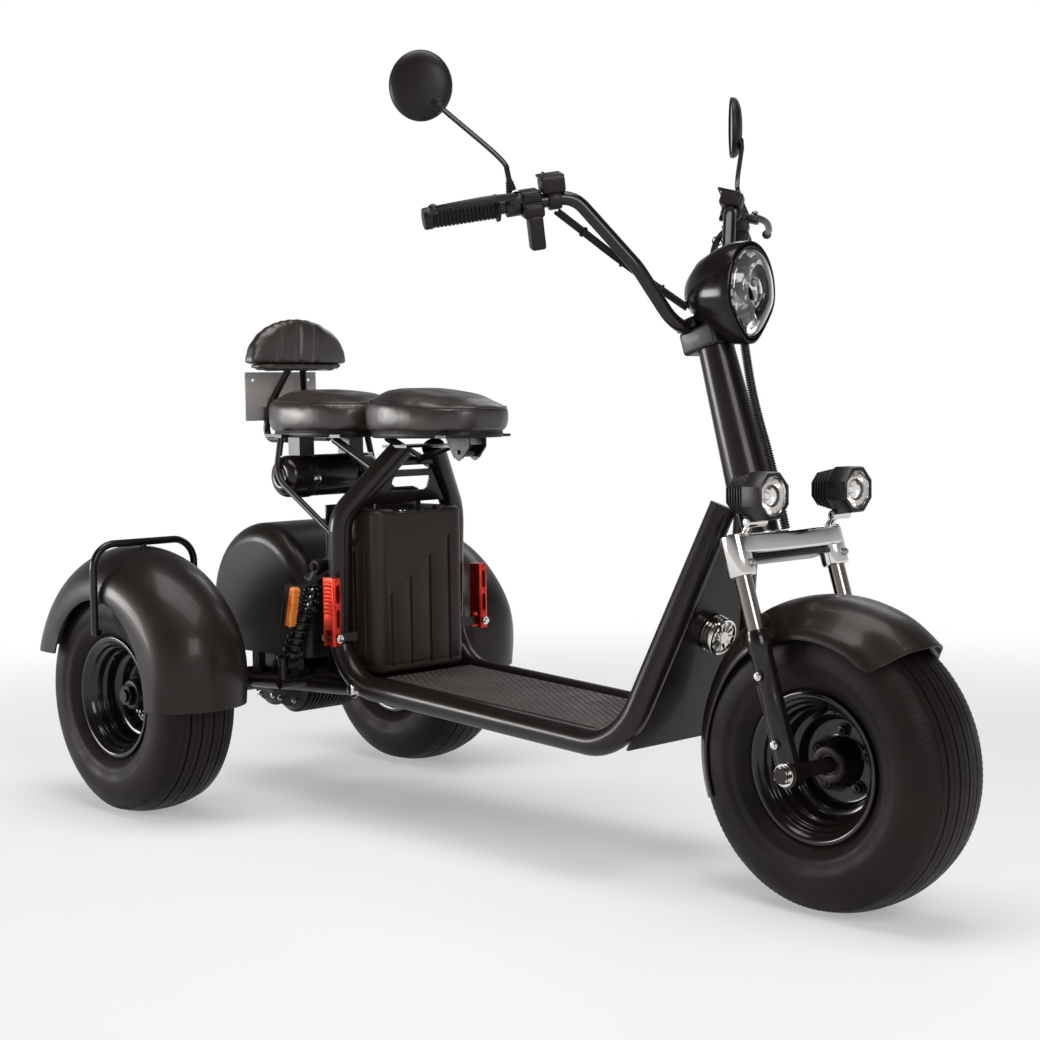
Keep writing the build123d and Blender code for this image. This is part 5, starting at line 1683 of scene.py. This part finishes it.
both_ends("brake_lever", [blade, ball], "bare_steel", black_cast, "brake_levers")
both_ends("lever_perch", [perch_ring, arm, stud_foot], "frame_paint", black_cast)
pivots = [hex_bolt("pivot", on_bar(perch_run - 0.003, 0.037, 0.007), bar_above, 0.009, 0.004),
          hex_bolt("clamp_screw", on_bar(perch_run + 0.005, -0.017, 0.003), -bar_front, 0.006, 0.003)]
both_ends("lever_bolts", pivots, "bare_steel", chrome)
print("lever reach:", round((blade_points[-1] - blade_points[0]).length, 3))

# %% [markdown]
# The switch block is two plastic shells around the bar with a seam between them, a rocker, a slider and a
# round push button, and a hanging part with the horn's push. Beside it sits the fluid reservoir: a box with a
# lid and two screws.

# %% Switch blocks and reservoirs
shell_top = bar_block("shell_top", switch_run, 0.034, 0.002, 0.0092, 0.043, 0.0216, 0.006, 4)
shell_low = bar_block("shell_low", switch_run, 0.034, 0.002, -0.0132, 0.043, 0.0216, 0.006, 4)
shell_tail = bar_block("shell_tail", switch_run, 0.024, -0.002, -0.048, 0.026, 0.054, 0.005, 4)
core_seam = bar_block("seam", switch_run, 0.032, 0.002, -0.002, 0.040, 0.006, 0.001, 1)
both_ends("switch_block", [shell_top, shell_low, shell_tail, core_seam], "black_plastic", black_plastic,
          "control_housings")
buttons = [
    bar_block("rocker", switch_run, 0.012, -0.0205, 0.0085, 0.006, 0.010, 0.0015, 3),
    bar_block("slider", switch_run - 0.004, 0.010, -0.0205, -0.010, 0.005, 0.005, 0.001, 2),
    spun("push", [(0.0, 0.0050), (0.0032, 0.0050), (0.0042, 0.0042), (0.0042, 0.0001)],
         on_bar(switch_run + 0.009, -0.0190, -0.010), -bar_front, bar_above, 24),
    bar_block("horn_push", switch_run, 0.012, -0.016, -0.040, 0.006, 0.012, 0.0025, 3),
]
both_ends("switch_buttons", buttons, "black_plastic", gloss_plastic)
tank = bar_block("tank", reservoir_run, 0.038, 0.006, 0.0235, 0.039, 0.026, 0.005, 4)
lid = bar_block("lid", reservoir_run, 0.0385, 0.006, 0.0375, 0.0400, 0.0045, 0.0015, 2)
tank_clamp = collar(0.010, 0.0112, 0.0155, 0.0085, 0.0162)
tank_foot = spun("tank_clamp", tank_clamp, on_bar(reservoir_run), bar_run, bar_above, 36)
both_ends("reservoir", [tank, lid, tank_foot], "black_plastic", black_plastic)
tank_screws = []
for shift in (-0.013, 0.013):
    screw_foot = on_bar(reservoir_run + shift, 0.006 + shift, 0.0392)
    tank_screws.append(hex_bolt("tank_screw", screw_foot, bar_above, 0.004, 0.0014))
both_ends("reservoir_screws", tank_screws, "bare_steel", steel)

# %% [markdown]
# A mirror is a deep plastic bowl with the glass set in its rim, on a bent stem with a rubber boot at its
# foot.

# %% Mirrors
mirror_centre = steered(-0.138, 0.801, 0.380)
mirror_face = Vector((-0.72, -0.69, 0)).normalized()
mirror_inward = Vector((-mirror_face.y, mirror_face.x, 0))
mirror_radius, mirror_oval = 0.0550, 0.90


def made_oval(piece):
    """Draw a round mirror part in across its own width."""
    for point in piece.data.vertices:
        aside = (point.co - mirror_centre).dot(mirror_inward)
        point.co -= mirror_inward * aside * (1 - mirror_oval)
    return piece


shell_shares = [(0.0105, 0.90), (0.0108, 0.96), (0.0095, 0.995), (0.0060, 1.0), (0.0, 0.968),
                (-0.0045, 0.864), (-0.0080, 0.672), (-0.0100, 0.40), (-0.0108, 0.002)]
shell_profile = [(along, share * mirror_radius) for along, share in shell_shares]
mirror_shell = made_oval(spun("mirror_shell", shell_profile, mirror_centre, mirror_face, (0, 0, 1), 64, 50))
socket_centre = mirror_centre + mirror_inward * 0.026 - Vector((0, 0, 0.032)) - mirror_face * 0.004
socket_section = [(0.0, 0.0001), (0.0, 0.012), (-0.004, 0.0115), (-0.007, 0.0085), (-0.008, 0.0001)]
socket = spun("socket", socket_section, socket_centre, mirror_face, (0, 0, 1), 32, 50)
both_ends("mirror_shell", [mirror_shell, socket], "black_plastic", black_plastic, "mirrors")
glass_section = [(0.0085, 0.0500), (0.0092, 0.0493), (0.0096, 0.0001)]
glass = made_oval(spun("mirror_glass", glass_section, mirror_centre, mirror_face, (0, 0, 1), 64, 50))
mirror_glass = bright_metal("mirror_glass", (0.82, 0.83, 0.84), 0.015, 0.01)
both_ends("mirror_glass", [glass], "chrome", mirror_glass)
mirror_joint = mirror_centre + mirror_inward * 0.026 - Vector((0, 0, 0.032)) - mirror_face * 0.0095
stem_bend = on_bar(perch_run, 0.018, 0.066)
stem_route = [on_bar(perch_run, 0.018, 0.012), on_bar(perch_run, 0.018, 0.048), stem_bend,
              mirror_joint + (stem_bend - mirror_joint) * 0.25, mirror_joint,
              mirror_joint + mirror_face * 0.006]
stem = pipe("stem", stem_route, 0.0043, sides=16)
both_ends("mirror_stem", [stem], "frame_paint", bar_black)
boot = [(0.0, 0.0085)]
for index in range(5):
    start, crown_radius = 0.002 + index * 0.0044, 0.0092 - index * 0.0007
    boot += [(start, crown_radius), (start + 0.0022, crown_radius), (start + 0.0032, 0.0074 - index * 0.0006)]
boot += [(0.026, 0.0050), (0.026, 0.0001)]
boot = spun("boot", boot, on_bar(perch_run, 0.018, 0.010), bar_above, bar_run, 32, 30)
both_ends("mirror_boot", [boot], "grip_rubber", soft_rubber)
print("mirror across:", mirror_radius * 2)

# %% [markdown]
# ## Lamps
# The headlamp is a black shell whose front opening is a shield: round above and drawn to a point below.
# Shell, bezel and lens all follow that one outline at different sizes, so the outline is a function of an
# angle.

# %% The headlamp's outline
lens_low, lens_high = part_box("headlamp_lens")
lamp_half_width = extent("headlamp_lens").y / 2 + 0.008
lamp_half_height = extent("headlamp_lens").z / 2 + 0.002
lamp_centre = Vector((lens_low.x, 0, (lens_low.z + lens_high.z) / 2))


def shield(angle, scale):
    """A point of the shield outline as (side, up): broad and round above, drawn in to a blunt point below."""
    side, up = math.sin(angle), math.cos(angle)
    pinch_in = 1 - 0.30 * step_between(-up, 0.1, 1.0)
    return side * pinch_in * lamp_half_width * scale, up * lamp_half_height * scale


def shield_ring(scale, ahead, count=56, squash=1.0):
    """A ring of points in the shield's shape, that far ahead of the lens's back."""
    ring = []
    for index in range(count):
        side, up = shield(2 * math.pi * index / count, scale)
        ring.append(lamp_centre + Vector((ahead, side, up * squash)))
    return ring


def shield_rings(*sizes, count=56):
    """Several rings, from (scale, ahead) or (scale, ahead, squash)."""
    return [shield_ring(scale, ahead, count, *squash) for scale, ahead, *squash in sizes]


def ring_stack(name, rings, cap_front=True, cap_back=True):
    """A skin through several rings of points: the first is drawn, then extruded and fitted ring by ring."""
    piece = outline(name, rings[0])
    edit(piece, "VERT")
    bpy.ops.mesh.select_all(action="SELECT")
    bpy.ops.mesh.edge_face_add()
    if not cap_back:
        bpy.ops.mesh.delete(type="ONLY_FACE")
        bpy.ops.mesh.select_all(action="SELECT")
    step = Vector((0.001, 0, 0))
    for before, ring in zip(rings, rings[1:]):
        bpy.ops.mesh.extrude_region_move(TRANSFORM_OT_translate={"value": step})
        leave()
        for point in [point for point in piece.data.vertices if point.select]:
            spans = [(point.co - step - place_before).length for place_before in before]
            point.co = ring[spans.index(min(spans))]
        bpy.ops.object.mode_set(mode="EDIT")
    if not cap_front:
        bpy.ops.mesh.delete(type="ONLY_FACE")
    leave()
    return tidy(piece)


# %% [markdown]
# The shell is a skin through rings that grow from the small round back to the broad front and fold in behind
# the lens; a black bezel sits in that fold.

# %% Headlamp shell and bezel
shell_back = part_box("headlamp_housing")[0].x - lens_low.x
shell_rings = shield_rings(
    (0.46, shell_back, 0.80), (0.60, shell_back + 0.006, 0.84), (0.80, shell_back + 0.026, 0.92),
    (0.93, shell_back + 0.056, 0.97), (0.985, shell_back + 0.082), (1.0, -0.006), (0.985, 0.004),
    (0.94, 0.006), (0.90, 0.002), (0.88, -0.006), (0.80, -0.024), (0.62, -0.040), (0.30, -0.046),
)
lamp_shell = smooth(ring_stack("headlamp_shell", shell_rings), 50)
dress(lamp_shell, "steering", "black_plastic", gloss_plastic, "headlamp_housing")
bezel_rings = shield_rings((0.885, -0.004), (0.905, 0.004), (0.89, 0.0075), (0.85, 0.006), (0.835, 0.000),
                           (0.850, -0.004))
bezel = smooth(ring_stack("headlamp_bezel", bezel_rings + [bezel_rings[0]], False, False), 50)
dress(bezel, "steering", "black_plastic", gloss_plastic)
print("headlamp:", round(2 * lamp_half_width, 3), "by", round(2 * lamp_half_height, 3))

# %% [markdown]
# Behind the clear lens are a faceted reflector with a projector in its middle and a strip of small lights on
# each side. The facets are flat faces left flat, so each throws its own highlight.

# %% Headlamp reflector, projector and lens
reflector_rings = shield_rings((0.84, -0.004), (0.70, -0.018), (0.52, -0.030), (0.30, -0.037),
                               (0.16, -0.038), count=28)
reflector = ring_stack("headlamp_reflector", reflector_rings, False, False)
dress(reflector, "steering", "chrome", chrome)
projector_centre = lamp_centre - Vector((0, 0, 0.010))
projector_profile = [(-0.036, 0.0260), (-0.014, 0.0270), (-0.011, 0.0250), (-0.012, 0.0225),
                     (-0.030, 0.0215), (-0.036, 0.0260)]
ring_low = spun("projector_ring", projector_profile, projector_centre, (1, 0, 0), (0, 0, 1), 48)
brow = rounded(block("brow", lamp_centre + Vector((-0.018, 0, 0.036)), (0.020, 0.060, 0.010)), 0.004, 3)
dress(joined("headlamp_projector", [ring_low, brow]), "steering", "black_plastic", gloss_plastic)
ball_profile = [(-0.028, 0.0215), (-0.020, 0.0200), (-0.014, 0.0150), (-0.011, 0.0080), (-0.0100, 0.0001)]
projector_ball = spun("projector_ball", ball_profile, projector_centre, (1, 0, 0), (0, 0, 1), 48, 60)
dress(projector_ball, "steering", "lamp_lens", lens_plastic)
diodes = []
for side in (-1, 1):
    for index in range(5):
        up = 0.048 - index * 0.016
        out = side * (0.0355 - 0.0012 * index ** 1.6 - 0.004 * (index == 0))
        diode = block("diode", lamp_centre + Vector((-0.015, out, up)), (0.008, 0.0085, 0.0105))
        diodes.append(rounded(diode, 0.002, 2))
dress(joined("headlamp_diodes", diodes), "steering", "chrome", plate_grey)
lens_rings = shield_rings((0.865, 0.000), (0.850, 0.0065), (0.78, 0.0110), (0.60, 0.0134), (0.30, 0.0139))
front_lens = smooth(ring_stack("headlamp_glass", lens_rings, True, False), 60)
add_modifier(front_lens, "SOLIDIFY", thickness=0.002, offset=-1.0)
dress(front_lens, "steering", "lamp_lens", lens_plastic, "headlamp_lens")

# %% [markdown]
# The two spot lights are finned castings with an octagonal front, a deep reflector and a yoke on a ball
# joint.

# %% Spot lights
spot_side = 0.105
spot_centre = steered(0.090, 0.066, spot_side)
forward = Vector((1, 0, 0))
fins = []
for index in range(6):
    at = spot_centre - forward * (0.036 - index * 0.0062)
    fin = barrel("fin", at, at + forward * 0.0026, 0.0285 + 0.0014 * index, sides=8)
    fins.append(rounded(turned(fin, 22.5, forward, at), 0.0006, 1))
core = barrel("core", spot_centre - forward * 0.038, spot_centre + forward * 0.006, 0.020, 0.026, sides=24)
head_ring = [(0.000, 0.0270), (0.001, 0.0375), (0.004, 0.0390), (0.030, 0.0390), (0.036, 0.0375),
             (0.038, 0.0350), (0.037, 0.0325), (0.030, 0.0310), (0.012, 0.0240), (0.008, 0.0120),
             (0.008, 0.0001), (0.000, 0.0001), (0.000, 0.0270)]
head = lathe("head", head_ring, spot_centre, forward, Vector((0, 0, 1)), 8)
head = rounded(turned(head, 22.5, forward, spot_centre), 0.0012, 2)
both_ends("spot_light_body", [*fins, smooth(core), head], "dark_metal", black_cast, "spot_lights")
bowl = [(0.0315, 0.0300), (0.0335, 0.0312), (0.0345, 0.0300), (0.0320, 0.0280), (0.0200, 0.0225),
        (0.0120, 0.0130), (0.0110, 0.0060), (0.0130, 0.0040), (0.0130, 0.0001)]
bowl = spun("bowl", bowl, spot_centre, forward, (0, 0, 1), 40)
both_ends("spot_light_bowl", [bowl], "chrome", chrome)
spot_glass = [(0.0300, 0.0300), (0.0330, 0.0298), (0.0352, 0.0240), (0.0364, 0.0120), (0.0368, 0.0001)]
spot_glass = spun("glass", spot_glass, spot_centre, forward, (0, 0, 1), 40, 60)
both_ends("spot_light_glass", [spot_glass], "lamp_lens", lens_plastic)
stalk_foot = steered(0.050, 0.014, spot_side)
stalk_top = spot_centre - Vector((0.004, 0, 0.034))
ball_centre = spot_centre - Vector((0.004, 0, 0.030))
yoke_ends = [spot_centre + Vector((0, side, -0.040)) for side in (-0.022, 0.022)]
yoke_parts = [
    rounded(barrel("stalk", stalk_foot, stalk_top, 0.0062), 0.001),
    rounded(barrel("yoke_bar", *yoke_ends, 0.0075), 0.002),
    spun("yoke_ball", ball_section(0.0105, 20), ball_centre, (0, 0, 1), (1, 0, 0), 24, 60),
]
both_ends("spot_light_yoke", yoke_parts, "chrome", chrome)
print("spot lights at", [round(value, 3) for value in spot_centre])

# %% [markdown]
# ## Cables
# The wiring runs down in front of the column in a ribbed sleeve, and thinner cables follow the bar on each
# side. They are held all the way, so they keep the route of the frame's own sleeves.

# %% Ribbed sleeve and cables
sleeve_route = [steered(0.062, 0.352), steered(0.052, 0.282), steered(0.048, 0.210),
                steered(0.053, 0.120), steered(0.049, 0.018)]
core_line = pipe("sleeve_core", sleeve_route, 0.0058, sides=16)
ridge_rings = []
ridge_section = [(-0.0016, 0.0056), (-0.0009, 0.0074), (0.0009, 0.0074), (0.0016, 0.0056), (-0.0016, 0.0056)]
ridge = spun("ridge", ridge_section, (0, 0, 0), (0, 0, 1), (1, 0, 0), 14, 60)


def along_route(route, share):
    """A point and a direction on the smooth line through a route, from 0 to 1."""
    curve = bpy.data.curves.new("route", "CURVE")
    spline = curve.splines.new("NURBS")
    curve.dimensions = "3D"
    spline.points.add(len(route) - 1)
    for point, position in zip(spline.points, route):
        point.co = (*position, 1)
    spline.order_u = 3
    spline.use_endpoint_u = True
    spline.resolution_u = 16
    carrier = bpy.data.objects.new("route", curve)
    line = bpy.data.meshes.new_from_object(carrier)
    points = [vertex.co.copy() for vertex in line.vertices]
    bpy.data.objects.remove(carrier)
    spans = [(b - a).length for a, b in zip(points, points[1:])]
    found = []
    for part in share:
        left = part * sum(spans)
        for a, b, span in zip(points, points[1:], spans):
            if left <= span or b is points[-1]:
                found.append((a + (b - a) * min(1.0, left / span), (b - a).normalized()))
                break
            left -= span
    return found


ridge_count = 82
ridge_shares = [(index + 0.5) / ridge_count for index in range(ridge_count)]
for position, direction in along_route(sleeve_route, ridge_shares):
    ridge_rings.append(laid(copy_of(ridge, "ridge"), position, direction))
bpy.data.objects.remove(ridge)
ribbed_sleeve = joined("cable_sleeve_ribbed", [core_line, *ridge_rings])
dress(ribbed_sleeve, "steering", "black_plastic", black_plastic, "cable_sleeves")
cable_route = [on_bar(reservoir_run - 0.002, -0.005, -0.019), steered(-0.080, 0.560, 0.172),
               steered(-0.052, 0.478, 0.096), steered(-0.012, 0.400, 0.030)]
cables = []
for shift in (-0.0042, 0.0042):
    cables.append(pipe("cable", [point + ahead_of_column * shift for point in cable_route], 0.0032, sides=10))
ties = []
for position, direction in along_route(cable_route, (0.22, 0.52, 0.80)):
    tie_section = flat_band(0.0020, 0.0076, 0.0086)
    ties.append(spun("tie", tie_section, position, direction, direction.orthogonal(), 20))
both_ends("control_cables", [*cables, *ties], "black_plastic", soft_rubber)
print("ribs on the sleeve:", ridge_count)


# %% [markdown]
# ## Small things
# What is left is one large bolt on each side, where the rails meet the panels.

# %% Pivot bolts on the rails
pivot_ahead, pivot_up = -0.254, 0.255
pivot_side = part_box("frame_panels")[1].y + 0.018
bolts = []
for side in (-1, 1):
    at = Vector((pivot_ahead, side * pivot_side, pivot_up))
    bolts.append(hex_bolt("pivot", at, across * side, 0.019, 0.009, 1.45))
dress(joined("rail_pivot_bolts", bolts), "chassis", "bare_steel", chrome)
print("rail bolts:", len(bolts))

# %% [markdown]
# ## Stage
# The floor is a plain pale sheet that runs on without an edge. Near the scooter the camera mostly sees the
# light that falls on it, so the soft shadow stays, and farther out it fades into white. The world is the
# room. The camera and clear plastic see white all round; shiny things see only a faint bright wall, which
# ends at a dim ceiling, so that black things stay black.

# %% Floor and world
def clamped_sum(owner, *sources):
    """The sum of several sockets, never more than 1."""
    total = sources[0]
    for source in sources[1:]:
        adder = add_node(owner, "ShaderNodeMath", {"operation": "ADD", "use_clamp": True})
        wire(owner, total, adder.inputs[0])
        wire(owner, source, adder.inputs[1])
        total = adder.outputs[0]
    return total


def product(owner, one, other):
    """One socket's value times another's."""
    times = add_node(owner, "ShaderNodeMath", {"operation": "MULTIPLY"})
    wire(owner, one, times.inputs[0])
    wire(owner, other, times.inputs[1])
    return times.outputs[0]


def faded(owner, source, start, end, first, last):
    """A value that goes smoothly from first to last while the source goes from start to end."""
    span = add_node(owner, "ShaderNodeMapRange", {"interpolation_type": "SMOOTHSTEP"},
                    From_Min=start, From_Max=end, To_Min=first, To_Max=last)
    wire(owner, source, span.inputs["Value"])
    return span.outputs["Result"]


def mixed(owner, share, one, other, output):
    """Send a mix of two shaders to an output."""
    veil = add_node(owner, "ShaderNodeMixShader")
    wire(owner, share, veil.inputs["Fac"])
    wire(owner, one, veil.inputs[1])
    wire(owner, other, veil.inputs[2])
    wire(owner, veil.outputs[0], owner.node_tree.nodes[output].inputs["Surface"])


deselect()
bpy.ops.mesh.primitive_plane_add(size=40, location=(0, 0, 0))
floor = settle(named("studio_floor"))
floor_finish = finish("studio_floor", (0.9, 0.9, 0.9), 0.9)
rays = add_node(floor_finish, "ShaderNodeLightPath").outputs
seen = clamped_sum(floor_finish, rays["Is Camera Ray"], rays["Is Glossy Ray"], rays["Is Transmission Ray"])
reach = add_node(floor_finish, "ShaderNodeVectorMath", {"operation": "LENGTH"})
wire(floor_finish, place(floor_finish), reach.inputs[0])
shadow_reach, white_reach = 1.3, 3.2
fade = faded(floor_finish, reach.outputs["Value"], shadow_reach, white_reach, 0.35, 1.0)
glow = add_node(floor_finish, "ShaderNodeEmission", Color=(1, 1, 1, 1), Strength=1.0)
lit = floor_finish.node_tree.nodes["Principled BSDF"].outputs["BSDF"]
mixed(floor_finish, product(floor_finish, seen, fade), lit, glow.outputs["Emission"], "Material Output")
floor.data.materials.append(floor_finish)

world = bpy.data.worlds.new("studio")
bpy.context.scene.world = world
world.use_nodes = True
plain = world.node_tree.nodes["Background"]
plain.inputs["Strength"].default_value = 0.5
bearing = add_node(world, "ShaderNodeTexCoord")
height = add_node(world, "ShaderNodeSeparateXYZ")
wire(world, bearing.outputs["Generated"], height.inputs[0])
ceiling = add_node(world, "ShaderNodeValToRGB")
for stop, position, colour in zip(ceiling.color_ramp.elements, (0.02, 0.45),
                                  ((0.9, 0.9, 0.92, 1), (0.16, 0.16, 0.17, 1))):
    stop.position, stop.color = position, colour
wire(world, height.outputs["Z"], ceiling.inputs["Fac"])
wire(world, ceiling.outputs["Color"], plain.inputs["Color"])
white = add_node(world, "ShaderNodeBackground", Color=(1, 1, 1, 1), Strength=1.0)
rays = add_node(world, "ShaderNodeLightPath").outputs
wall = faded(world, height.outputs["Z"], 0.10, 0.55, 0.35, 0.0)
mirrored_wall = product(world, rays["Is Glossy Ray"], wall)
bright = clamped_sum(world, rays["Is Camera Ray"], mirrored_wall, rays["Is Transmission Ray"])
mixed(world, bright, plain.outputs["Background"], white.outputs["Background"], "World Output")
bpy.context.scene.view_settings.view_transform = "Standard"
print("stage ready")

# %% [markdown]
# Black, satin things are drawn by what they reflect, so the lamps are few and large: a broad one above for
# the crowns of the fenders, a soft one from the front right, a low one off the rear right corner, which lies
# along the sides of the seats, and a weak one behind for the edges of the tyres and the bar.

# %% Lamps
def lamp(name, place_at, aim, width, height, power, colour=(1, 1, 1)):
    """A soft area lamp that points at a place."""
    data = bpy.data.lights.new(name, "AREA")
    data.shape, data.size, data.size_y = "RECTANGLE", width, height
    data.energy, data.color = power, colour
    made = bpy.data.objects.new(name, data)
    bpy.context.scene.collection.objects.link(made)
    made.location = place_at
    made.rotation_euler = (Vector(aim) - Vector(place_at)).to_track_quat("-Z", "Y").to_euler()
    return made


lamp("overhead", (0.2, -0.3, 3.6), (0, 0, 0.4), 3.0, 2.0, 88, (1.0, 0.98, 0.96))
lamp("front_right", (3.6, -1.4, 2.3), (0.1, 0, 0.5), 1.6, 1.8, 62, (1.0, 0.98, 0.96))
lamp("side", (-3.5, -3.3, 1.0), (-0.3, 0, 0.75), 2.0, 1.0, 120, (1.0, 0.975, 0.95))
lamp("behind", (-1.4, 3.4, 3.0), (0, 0, 0.6), 2.4, 1.2, 26)

# %% [markdown]
# ## Camera
# The camera stands off the scooter's front right corner, a little lower than the handlebar, and looks
# slightly down. Its turn is built from three angles: the yaw, the pitch and a very small roll.

# %% Camera
yaw, pitch, roll = math.radians(46.259), math.radians(3.899), math.radians(-0.856)
look = Vector((-math.sin(yaw) * math.cos(pitch), math.cos(yaw) * math.cos(pitch), -math.sin(pitch)))
level_right = Vector((math.cos(yaw), math.sin(yaw), 0))
level_up = level_right.cross(look)
right = level_right * math.cos(roll) + level_up * math.sin(roll)
up = level_up * math.cos(roll) - level_right * math.sin(roll)
view = bpy.data.cameras.new("camera")
view.sensor_width, view.lens = 36.0, 64.69
camera = bpy.data.objects.new("camera", view)
bpy.context.scene.collection.objects.link(camera)
turn = Matrix((right, up, -look)).transposed().to_4x4()
camera.matrix_world = Matrix.Translation((2.435, -2.300, 0.797)) @ turn
bpy.context.scene.camera = camera
print("camera at", [round(value, 3) for value in camera.location])
